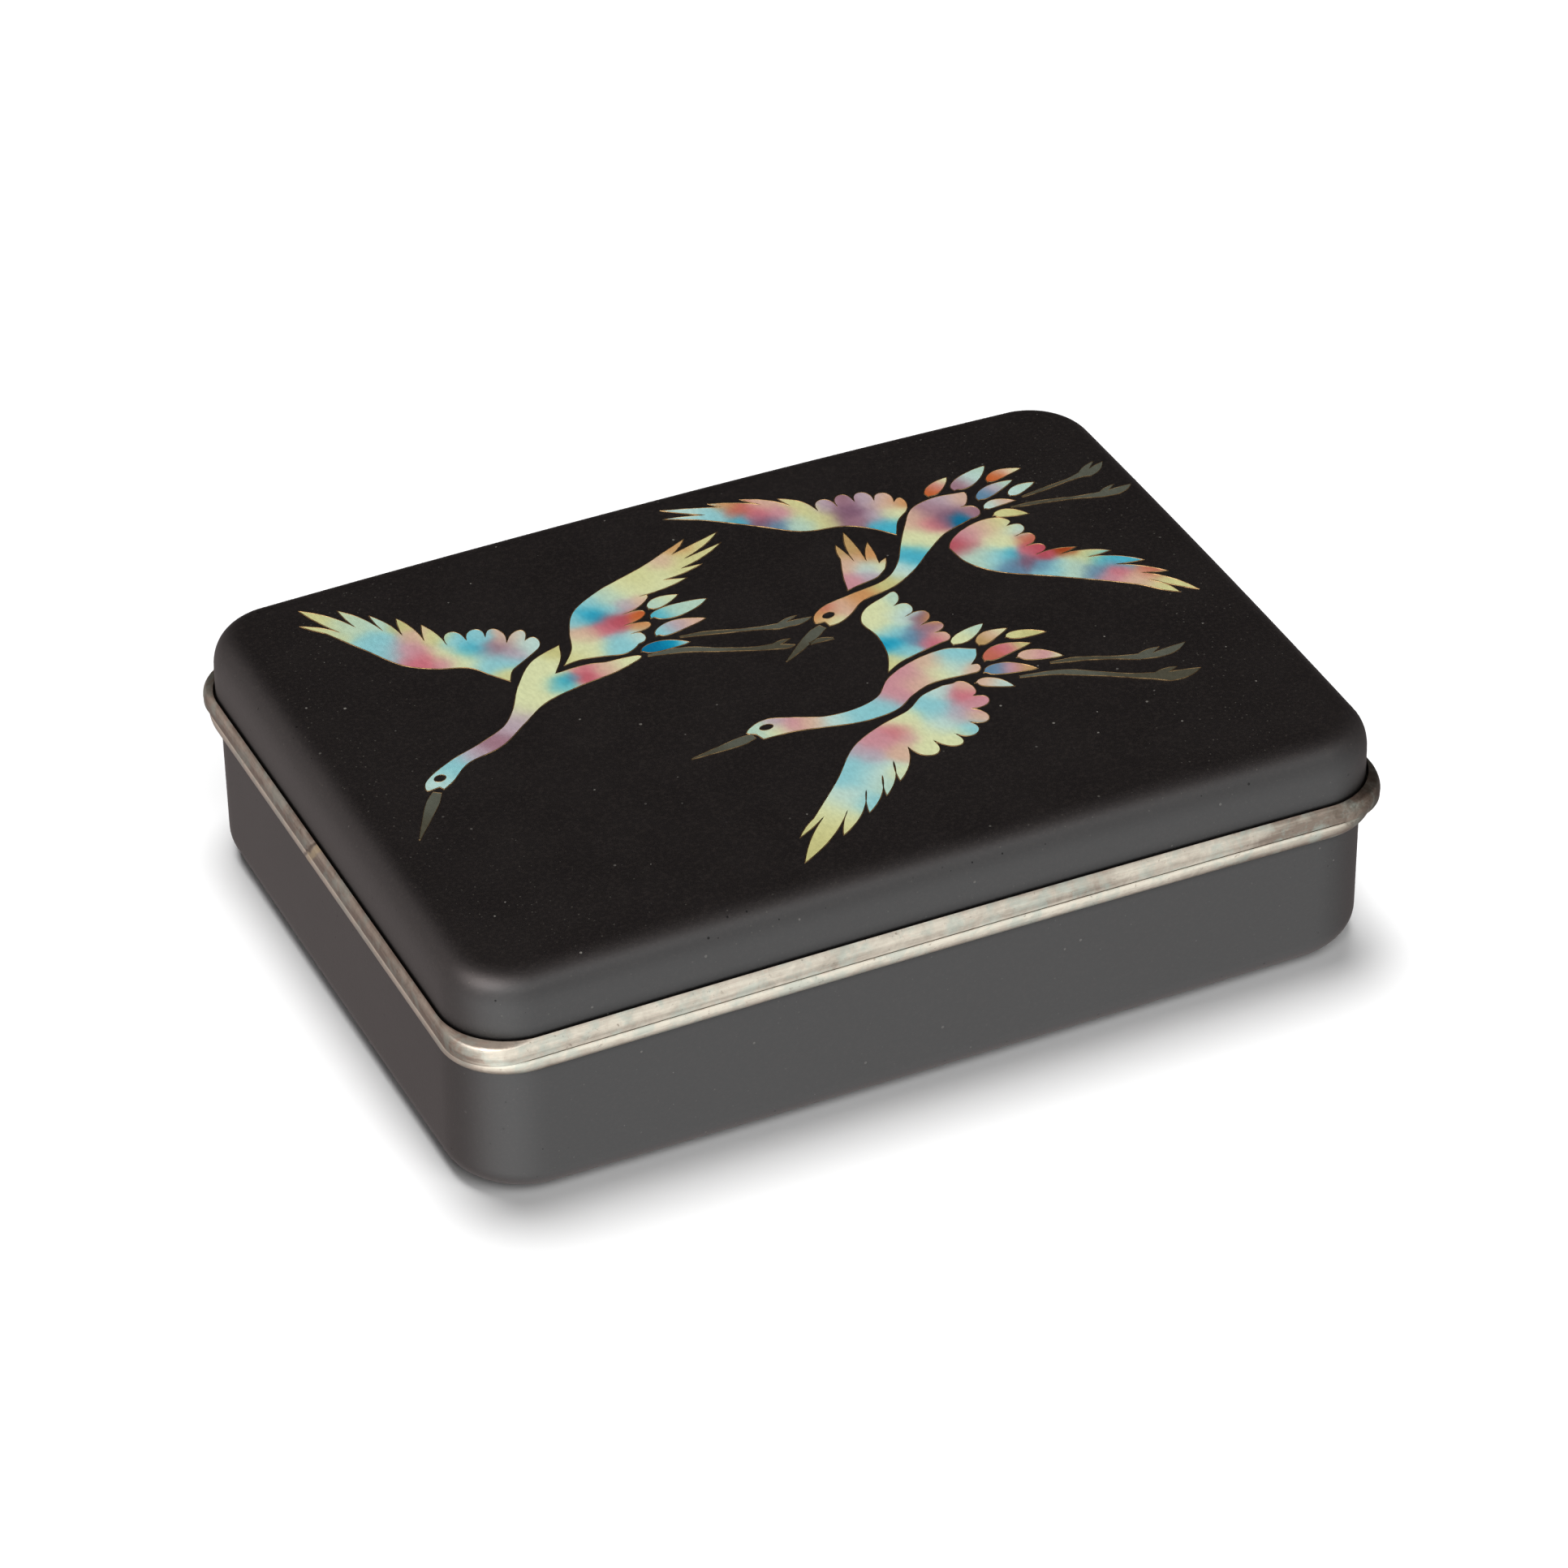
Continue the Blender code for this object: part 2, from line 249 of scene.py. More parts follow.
def silver(name, west=0.3, seed=0.0):
    """Old silver, read from the band painted on the mesh: R the way round the profile in mm, G how well it is rubbed,
    with a painted highlight on the base rim's top edge.

    Edges that hands touch are rubbed bright and the base rim's top edge has a painted highlight; the flats between
    them keep a warm grey tarnish, streaked along the band and darkest in the corners on the right and round the back.
    """
    mat = bpy.data.materials.new(name)
    t = Tree(mat)
    p = t.spot()
    high, axes = t.seam_height()
    band = t.add("ShaderNodeAttribute", {"attribute_name": "band"})
    part = t.add("ShaderNodeSeparateColor")
    t.set(part, "Color", band.outputs["Color"])
    along = t.add("ShaderNodeCombineXYZ")
    for i in (0, 1):
        t.nt.links.new(t.math("MULTIPLY", axes.outputs[i], 0.11), along.inputs[i])
    t.nt.links.new(t.math("MULTIPLY", part.outputs[0], 2.6), along.inputs[2])
    streak = t.noise(along.outputs[0], 1.0, 4.0, 0.62, 0.25, 2.0 + seed)
    brush = t.noise(t.spot((0.5, 0.5, 9.0)), 1.0, 3.0, 0.6, 0.3, 9.0 + seed)
    patch = t.noise(p, 0.075, 3.0, 0.55, 0.5, 3.0 + seed)
    blot = t.noise(p, 0.55, 5.0, 0.68, 0.6, 5.0 + seed)
    spots = t.noise(p, 1.7, 4.0, 0.65, 0.0, 7.0 + seed)
    # how bright: rubbed edges and the painted highlight on the base rim's top edge, less in the patches, mottled and
    # faintly streaked
    rub_and_highlight = t.math("ADD", part.outputs[1], t.math("MULTIPLY_ADD", streak, 0.9, -0.45))
    rub_and_highlight = t.math("ADD", rub_and_highlight, t.math("MULTIPLY_ADD", blot, 1.1, -0.55))
    rub_and_highlight = t.math("SUBTRACT", rub_and_highlight, t.ramp(patch, 0.50, 0.66, 0.0, 0.36))
    right = t.math("MULTIPLY", t.ramp(axes.outputs[0], 30.0, 59.5), 0.80)
    rub_and_highlight = t.math("SUBTRACT", rub_and_highlight, right)
    rub_and_highlight = t.math("SUBTRACT", rub_and_highlight, t.ramp(axes.outputs[0], -55.5, -59.3, 0.0, west))
    colour = t.mix(t.ramp(rub_and_highlight, -0.15, 1.0, smooth=False), linear(132, 121, 110), linear(222, 215, 199))
    colour = t.mix(t.ramp(brush, 0.50, 0.76, 0.0, 0.34), colour, linear(198, 160, 146))
    colour = t.mix(t.ramp(t.noise(p, 0.38, 4.0, 0.6, 0.5, 11.0 + seed), 0.46, 0.64, 0.0, 0.42), colour, linear(166, 184, 176))
    colour = t.mix(t.ramp(spots, 0.60, 0.74, 0.0, 0.60), colour, linear(98, 82, 68))
    colour = t.mix(t.ramp(t.math("ADD", right, t.math("MULTIPLY", blot, 0.8)), 0.98, 1.28, 0.0, 0.75), colour,
                   linear(74, 62, 52))
    # the old solder joint across the upper band on the left side
    cut = t.math("ADD", t.math("SUBTRACT", axes.outputs[1], SOLDER_Y), t.math("MULTIPLY_ADD", high, 0.9, -19.8))
    cut = t.math("ADD", cut, t.math("MULTIPLY_ADD", blot, 2.4, -1.2))
    here = t.ramp(axes.outputs[0], -57.5, -58.5)
    colour = t.mix(t.math("MULTIPLY", t.ramp(t.math("ABSOLUTE", cut), 1.0, 0.3, 0.0, 0.55), here), colour, linear(214, 200, 160))
    edge = t.ramp(t.math("ABSOLUTE", t.math("SUBTRACT", cut, 1.1)), 0.5, 0.05, 0.0, 0.7)
    colour = t.mix(t.math("MULTIPLY", edge, here), colour, linear(92, 78, 62))
    rough = t.math("ADD", t.ramp(rub_and_highlight, 0.0, 1.0, 0.38, 0.24), t.math("MULTIPLY", spots, 0.12))
    height = t.math("ADD", t.math("MULTIPLY", brush, 0.9), t.math("MULTIPLY", spots, 1.0))
    height = t.math("ADD", height, t.math("MULTIPLY", blot, 1.6))
    t.finish(Base_Color=colour, Metallic=1.0, Roughness=rough, Normal=t.bump(height, 0.035, 0.6))
    return mat


def wire_metal():
    """The cloisonne wires: fine gilt silver, dulled in places."""
    mat = bpy.data.materials.new("wire_metal")
    t = Tree(mat)
    p = t.spot()
    dull = t.ramp(t.noise(p, 0.5, 3.0), 0.35, 0.65)
    colour = t.mix(dull, linear(190, 160, 112), linear(112, 90, 62))
    rough = t.ramp(t.noise(p, 2.5, 2.0), 0.3, 0.7, 0.32, 0.5)
    t.finish(Base_Color=colour, Metallic=1.0, Roughness=rough)
    return mat


def tint_enamel():
    """Softly blended coloured enamel: the blend is painted on the mesh, with a faint cloudy grain and small bubbles."""
    mat = bpy.data.materials.new("colour_enamel")
    t = Tree(mat)
    p = t.spot()
    blend = t.add("ShaderNodeAttribute", {"attribute_name": "tint"})
    grain = t.noise(t.spot((1.0, 0.5, 1.0)), 2.2, 4.0, 0.62)
    bubbles = t.noise(p, 6.0, 2.0, 0.6)
    depth = t.math("ADD", t.ramp(grain, 0.25, 0.75, 0.91, 1.08), t.ramp(bubbles, 0.62, 0.80, 0.0, -0.12))
    shade = t.add("ShaderNodeVectorMath", {"operation": "SCALE"})
    t.nt.links.new(blend.outputs["Vector"], shade.inputs[0])
    t.nt.links.new(depth, shade.inputs["Scale"])
    rough = t.ramp(grain, 0.3, 0.7, 0.34, 0.42)
    t.finish(Base_Color=shade.outputs[0], Roughness=rough, IOR=1.5, Normal=t.bump(grain, 0.012, 0.4))
    return mat


# ---------------------------------------------------------------- skins of the box
def superpower(value, power):
    return math.copysign(abs(value) ** power, value)


def outline(inset, corner, z, arch=1.0, flat=0.0):
    """A closed ring: a rounded rectangle with bowed sides, drawn in by inset from the rims' outer line."""
    a, b = HALF_X - inset, HALF_Y - inset
    r = min(max(corner, 0.5), b)
    ring = []
    for turn, (sx, sy) in enumerate(((1, 1), (-1, 1), (-1, -1), (1, -1))):
        cx, cy = sx * (a - r), sy * (b - r)
        start = turn * math.pi / 2
        for i in range(CORNER_STEPS + 1):
            t = start + math.pi / 2 * i / CORNER_STEPS
            ring.append((cx + r * math.cos(t), cy + r * math.sin(t)))
        steps = LONG_STEPS if turn % 2 == 0 else SHORT_STEPS
        nx, ny = ((-1, 1), (-1, -1), (1, -1), (1, 1))[turn]
        x0, y0 = ring[-1]
        x1, y1 = (nx * (a - r), y0) if turn % 2 == 0 else (x0, ny * (b - r))
        ring += [(x0 + (x1 - x0) * i / steps, y0 + (y1 - y0) * i / steps) for i in range(1, steps)]
    out = []
    for x, y in ring:
        u, v = x / a, y / b
        px = x + BOW * (b / a) ** 2 * max(0.0, 1 - v * v) * superpower(u, 4)
        py = y + BOW * max(0.0, 1 - u * u) * superpower(v, 4)
        fx, fy = px / HALF_X, py / HALF_Y
        rise = ARCH * arch * ((1 - fx * fx) + (1 - fy * fy) * (HALF_Y / HALF_X) ** 2)
        rise -= flat * (1 - fx * fx) * (1 - fy * fy)
        out.append((px, py, z + rise))
    return out


def arch_at(z):
    """The seam's arch dies away towards the flat underside."""
    t = min(max(z / BASE_RIM_FOOT, 0.0), 1.0)
    return t * t * (3 - 2 * t)


def lid_height(x, y):
    """Height of the lid's top face."""
    fx, fy = x / HALF_X, y / HALF_Y
    return (LID_TOP + ARCH * ((1 - fx * fx) + (1 - fy * fy) * (HALF_Y / HALF_X) ** 2)
            - LID_FLAT * (1 - fx * fx) * (1 - fy * fy))


def mesh_piece(name, bm, mat, sharp=40):
    bmesh.ops.recalc_face_normals(bm, faces=bm.faces[:])
    mesh = bpy.data.meshes.new(name)
    bm.to_mesh(mesh)
    bm.free()
    mesh.shade_smooth()
    mesh.set_sharp_from_angle(angle=math.radians(sharp))
    mesh.materials.append(mat)
    obj = bpy.data.objects.new(name, mesh)
    scene.collection.objects.link(obj)
    return obj


def skin(rings, closed=False, pole=None):
    """Faces between a run of rings (mm); closed joins the last ring to the first, pole ends the run on one point."""
    bm = bmesh.new()
    rows = [[bm.verts.new((x * MM, y * MM, z * MM)) for x, y, z in ring] for ring in rings]
    n = len(rows[0])
    for low, high in list(zip(rows[:-1], rows[1:])) + ([(rows[-1], rows[0])] if closed else []):
        for i in range(n):
            j = (i + 1) % n
            bm.faces.new((low[i], low[j], high[j], high[i]))
    if pole is not None:
        tip = bm.verts.new([c * MM for c in pole])
        for i in range(n):
            bm.faces.new((rows[-1][i], rows[-1][(i + 1) % n], tip))
    return bm


def thicken(obj):
    mod = obj.modifiers.new("wall", "SOLIDIFY")
    mod.thickness = WALL * MM
    mod.offset = -1
    mod.use_even_offset = True
    mod.use_quality_normals = True
    return obj


def base_box(mat):
    rings = []
    for k in range(9):
        z = BASE_TOP + (BASE_ROLL - BASE_TOP) * k / 8
        lean = BASE_TAPER * (BASE_TOP - z) / (BASE_TOP - BASE_ROLL)
        rings.append(outline(BASE_INSET + lean, BASE_CORNER, z, arch_at(z)))
    steps = 14
    for i in range(1, steps + 1):
        t = math.pi / 2 * i / steps
        draw = BASE_ROLL * (1 - math.cos(t))
        z = BASE_ROLL * (1 - math.sin(t)) if i < steps else 0.0
        rings.append(outline(BASE_INSET + BASE_TAPER + draw, BASE_CORNER - CORNER_KEEP * draw, z, arch_at(z)))
    inner = BASE_INSET + BASE_TAPER + BASE_ROLL
    rings.append(outline(inner + 14.0, 3.0, 0.0, 0.0))
    return thicken(mesh_piece("enamel_tray", skin(rings, pole=(0, 0, 0)), mat))


def lid(mat):
    rings = [outline(LID_INSET, LID_CORNER, LID_FOOT + (LID_ROLL_START - LID_FOOT) * k / 4) for k in range(5)]
    high = LID_TOP - LID_ROLL_START
    steps = 22
    for i in range(1, steps + 1):
        t = math.pi / 2 * i / steps
        draw = LID_ROLL_IN * (1 - superpower(math.cos(t), 2 / LID_ROLL_POWER) if i < steps else 1)
        z = LID_ROLL_START + high * superpower(math.sin(t), 2 / LID_ROLL_POWER)
        share = (z - LID_RIM_TOP) / (LID_TOP - LID_RIM_TOP)
        rings.append(outline(LID_INSET + draw, LID_CORNER - 1.07 * draw, z, 1.0, LID_FLAT * share))
    edge = LID_INSET + LID_ROLL_IN
    for k in range(1, 13):
        rings.append(outline(edge + k * 3.0, 4.0, LID_TOP, 1.0, LID_FLAT))
    top = (0, 0, lid_height(0, 0))
    return thicken(mesh_piece("enamel_lid", skin(rings, pole=top), mat))


def soften(profile, radius, steps=4):
    """Rounds the corners of a closed profile of (inset, plan corner, z, rub and painted highlight) points. radius: one
    number for each.
    """
    n = len(profile)
    out = []
    for i, point in enumerate(profile):
        p, r = np.array(point, float), radius[i]
        if r <= 0:
            out.append(p)
            continue
        ends = []
        for j in (i - 1, (i + 1) % n):
            d = np.array(profile[j], float) - p
            ends.append(p + d * min(r / max(math.hypot(d[0], d[2]), 1e-9), 0.49))
        for k in range(steps + 1):
            s = k / steps
            out.append((1 - s) ** 2 * ends[0] + 2 * s * (1 - s) * p + s * s * ends[1])
    return out


def moulding(name, profile, radius, mat):
    """A closed ring swept round the box, with the band that its metal reads painted on it."""
    points = soften(profile, radius)
    bm = skin([outline(i, r, z) for i, r, z, _ in points], closed=True)
    layer = bm.verts.layers.float_color.new("band")
    way = 0.0
    bm.verts.ensure_lookup_table()
    count = len(bm.verts) // len(points)
    for k, point in enumerate(points):
        if k:
            way += math.hypot(point[0] - points[k - 1][0], point[2] - points[k - 1][2])
        for vert in bm.verts[k * count:(k + 1) * count]:
            vert[layer] = (way, point[3], 0.0, 1.0)
    return mesh_piece(name, bm, mat, 34)


def base_rim(mat):
    """Rounded band round the tray's top edge, rebated for the wall, with an upright collar inside."""
    skirt = BASE_INSET - GAP
    behind = BASE_INSET + WALL + GAP
    inside = LID_INSET + WALL + GAP + UPSTAND + GAP
    collar = inside + UPSTAND
    roof = BASE_TOP + GAP
    wall_r = BASE_CORNER + GAP
    c = BASE_RIM_CORNER
    i, top = BASE_RIM_INSET, BASE_RIM_TOP + 0.10
    # the last number of each point is how bright the metal reads: rubbing and tarnish, plus a painted highlight along
    # the top edge just under the seam, falling away towards the foot
    profile = [
        (i + 0.50, c, top, 0.6), (i + 0.08, c, top - 0.03, 1.35), (i, c, top - 0.24, 1.45),
        (i + 0.02, c, top - 0.66, 0.95), (i + 0.10, c, top - 1.16, 0.70), (i + 0.26, c, top - 1.62, 0.50),
        (i + 0.48, c, BASE_RIM_FOOT, 0.1), (skirt, wall_r, BASE_RIM_FOOT, 0.0), (skirt, wall_r, roof, 0.0),
        (behind, wall_r - WALL - 2 * GAP, roof, 0.3), (behind, wall_r - WALL - 2 * GAP, roof - 1.6, 0.3),
        (collar, COLLAR_CORNER, roof - 1.6, 0.4), (collar, COLLAR_CORNER, COLLAR_TOP, 0.8),
        (inside, COLLAR_CORNER + UPSTAND, COLLAR_TOP, 0.8), (inside, COLLAR_CORNER + UPSTAND, top, 0.2)]
    radius = [0.10, 0.10, 0.16, 0.18, 0.18, 0.18, 0.12, 0.04, 0, 0, 0.1, 0.1, 0.15, 0.15, 0.1]
    return moulding("silver_base_rim", profile, radius, mat)


def lid_rim(mat):
    """Moulding under the lid's edge: a narrow upright flat, a soft bead and a rounded slope up to the wall."""
    lip = LID_INSET - GAP
    wall_r = LID_CORNER + GAP
    behind = LID_INSET + WALL + GAP
    inside = behind + UPSTAND
    floor = LID_FOOT - GAP
    c = RIM_CORNER
    low = LID_RIM_FOOT - 0.04
    profile = [
        (0.34, c, low, 0.0), (0.05, c, low + 0.02, 0.1), (0.03, c, low + 0.12, 0.55), (0.02, c, low + 0.62, 0.34),
        (0.00, c, low + 0.92, 0.44), (0.02, c, low + 1.26, 0.60), (0.08, c + 0.1, low + 1.72, 0.74),
        (0.22, c + 0.3, low + 2.18, 0.92), (lip, wall_r, LID_RIM_TOP, 0.40),
        (lip, wall_r, floor, 0.0), (behind, wall_r - WALL - 2 * GAP, floor, 0.3),
        (behind, wall_r - WALL - 2 * GAP, LID_RIM_TOP + 0.4, 0.5),
        (inside, COLLAR_CORNER + UPSTAND + GAP, LID_RIM_TOP + 0.4, 0.7),
        (inside, COLLAR_CORNER + UPSTAND + GAP, low, 0.3)]
    radius = [0.05, 0.05, 0.06, 0.08, 0.10, 0.16, 0.18, 0.12, 0.03, 0, 0, 0.1, 0.1, 0.1]
    return moulding("silver_lid_rim", profile, radius, mat)


# ---------------------------------------------------------------- the picture: drawing tools, in mm on the lid's plan
INK = {
    "straw": (214, 219, 172), "lemon": (206, 204, 146), "olive": (194, 190, 130), "mint": (178, 206, 188),
    "ice": (186, 214, 206), "sky": (140, 198, 204), "teal": (72, 172, 194), "blue": (20, 148, 182),
    "deep": (0, 108, 146), "slate": (96, 132, 158), "lilac": (180, 162, 172), "plum": (122, 88, 108),
    "mauve": (152, 114, 126), "pink": (198, 142, 150), "rose": (196, 110, 122), "red": (176, 78, 90),
    "coral": (186, 104, 84), "orange": (196, 142, 92), "flame": (186, 94, 48), "rust": (152, 60, 26),
    "tan": (180, 148, 98), "peach": (208, 174, 152), "horn": (84, 86, 76), "shank": (72, 70, 58),
}


def curve(points, step=0.35):
    """An open smooth curve through a few points (centripetal Catmull-Rom)."""
    p = [np.array(q, float) for q in points]
    if len(p) < 3:
        return p
    p = [2 * p[0] - p[1]] + p + [2 * p[-1] - p[-2]]
    out = [p[1]]
    for i in range(1, len(p) - 2):
        a, b, c, d = p[i - 1:i + 3]
        t0 = 0.0
        t1 = t0 + max(np.linalg.norm(b - a), 1e-6) ** 0.5
        t2 = t1 + max(np.linalg.norm(c - b), 1e-6) ** 0.5
        t3 = t2 + max(np.linalg.norm(d - c), 1e-6) ** 0.5
        n = max(2, int(math.ceil(np.linalg.norm(c - b) / step)))
        for k in range(1, n + 1):
            t = t1 + (t2 - t1) * k / n
            a1 = (t1 - t) / (t1 - t0) * a + (t - t0) / (t1 - t0) * b
            a2 = (t2 - t) / (t2 - t1) * b + (t - t1) / (t2 - t1) * c
            a3 = (t3 - t) / (t3 - t2) * c + (t - t2) / (t3 - t2) * d
            b1 = (t2 - t) / (t2 - t0) * a1 + (t - t0) / (t2 - t0) * a2
            b2 = (t3 - t) / (t3 - t1) * a2 + (t - t1) / (t3 - t1) * a3
            out.append((t2 - t) / (t2 - t1) * b1 + (t - t1) / (t2 - t1) * b2)
    return out


def bow(a, b, lift, step=0.35):
    """A shallow arc from a to b that bulges to its right by lift times its length."""
    a, b = np.array(a, float), np.array(b, float)
    d = b - a
    mid = (a + b) / 2 + 2 * lift * np.array((d[1], -d[0]))
    n = max(3, int(math.ceil(np.linalg.norm(d) / step)))
    return [(1 - t) ** 2 * a + 2 * t * (1 - t) * mid + t * t * b for t in (k / n for k in range(n + 1))]


def quill(a, tip, b, side, out=0.07, back=0.03):
    """A pointed feather: out along one bowed edge to the tip, and back to the next notch along the other."""
    return bow(a, tip, out * side) + bow(tip, b, back * side)[1:]


def lobe(a, peak, b, full=0.72):
    """A rounded feather end between two notches."""
    a, peak, b = (np.array(q, float) for q in (a, peak, b))
    n = max(8, int(math.ceil(np.linalg.norm(peak - (a + b) / 2) * 8)))
    reach = 0.93 * (peak - (a + b) / 2)
    out = []
    for k in range(n + 1):
        t = k / n
        out.append(a + (b - a) * (0.5 - 0.5 * math.cos(math.pi * t)) + reach * math.sin(math.pi * t) ** full)
    return out


def turn_of(points):
    """+1 for a ring that runs anticlockwise, -1 for one that runs clockwise."""
    p = np.array(points, float)
    q = np.roll(p, -1, 0)
    return 1 if (p[:, 0] * q[:, 1] - q[:, 0] * p[:, 1]).sum() > 0 else -1


def wing(root, lead, ends, trail, out=0.07, back=0.03):
    """A wing: the leading edge from the root, then feather ends (peak, notch, kind, bulge), then the trailing edge home."""
    rough = [root] + list(lead) + [e[0] for e in ends] + list(trail)
    side = turn_of(rough)
    ring = curve([root] + list(lead))
    for peak, notch, kind, bulge in ends:
        if kind == "q":
            ring += quill(ring[-1], peak, notch, side, out, back if bulge is None else bulge)[1:]
        else:
            ring += lobe(ring[-1], peak, notch)[1:]
    ring += curve([ring[-1]] + list(trail) + [root])[1:-1]
    return ring


def leaf(base, tip, wide, lean=0.0, belly=0.68):
    """A short covert feather: blunt at the base, full along one edge, flatter (belly) along the other, leaning aside."""
    a, b = np.array(base, float), np.array(tip, float)
    d = b - a
    length = np.linalg.norm(d)
    d /= length
    length -= 0.25
    side = np.array((-d[1], d[0]))
    n = max(14, int(length * 4))
    up, down = [], []
    for k in range(n + 1):
        t = k / n
        late = max(0.0, (t - 0.07) / 0.93)
        mid = a + d * length * t + side * lean * length * math.sin(math.pi * t) * 0.25
        up.append(mid + side * wide * 1.155 * t ** 0.45 * (1 - t) ** 0.85)
        down.append(mid - side * wide * belly * 1.155 * late ** 0.50 * (1 - late) ** 0.85)
    return up + down[::-1][1:-1]


def spindle(points, widths):
    """A tapering stroke along a smooth curve, closed at both ends."""
    line = curve(points, 0.5)
    p = np.array(line)
    s = np.concatenate([[0], np.cumsum(np.linalg.norm(np.diff(p, axis=0), axis=1))])
    s /= s[-1]
    w = np.interp(s, np.linspace(0, 1, len(widths)), widths)
    d = np.gradient(p, axis=0)
    d /= np.linalg.norm(d, axis=1)[:, None]
    nrm = np.stack([-d[:, 1], d[:, 0]], 1)
    up = [p[i] + nrm[i] * w[i] / 2 for i in range(len(p))]
    down = [p[i] - nrm[i] * w[i] / 2 for i in range(len(p))]
    return up + down[::-1]


def shank(points, toe_a, crotch, toe_b, heel, widths):
    """A trailing leg: a slim stroke with a knee, ending in two toes with a notch between them."""
    ring = spindle(points, [0.78 * w for w in widths[:-1]] + [1.15 * widths[-1]])
    n = len(ring) // 2
    up, down = ring[:n], ring[n:][::-1]
    side = turn_of(up + down[::-1])
    foot = quill(up[-1], toe_a, crotch, side, 0.09, 0.0)[1:] + quill(crotch, toe_b, heel, side, 0.02, 0.12)[1:]
    return up + foot + down[::-1]


# ---------------------------------------------------------------- the three cranes
CELLS = []             # (crane, ring, tints)
EYES = []              # (crane, centre, half width, half height, tilt)


def cell(crane, ring, *tints):
    CELLS.append((crane, ring, tints))


def q(x, y, nx, ny, bulge=None):
    return (x, y), (nx, ny), "q", bulge


def s(x, y, nx, ny):
    return (x, y), (nx, ny), "s", None


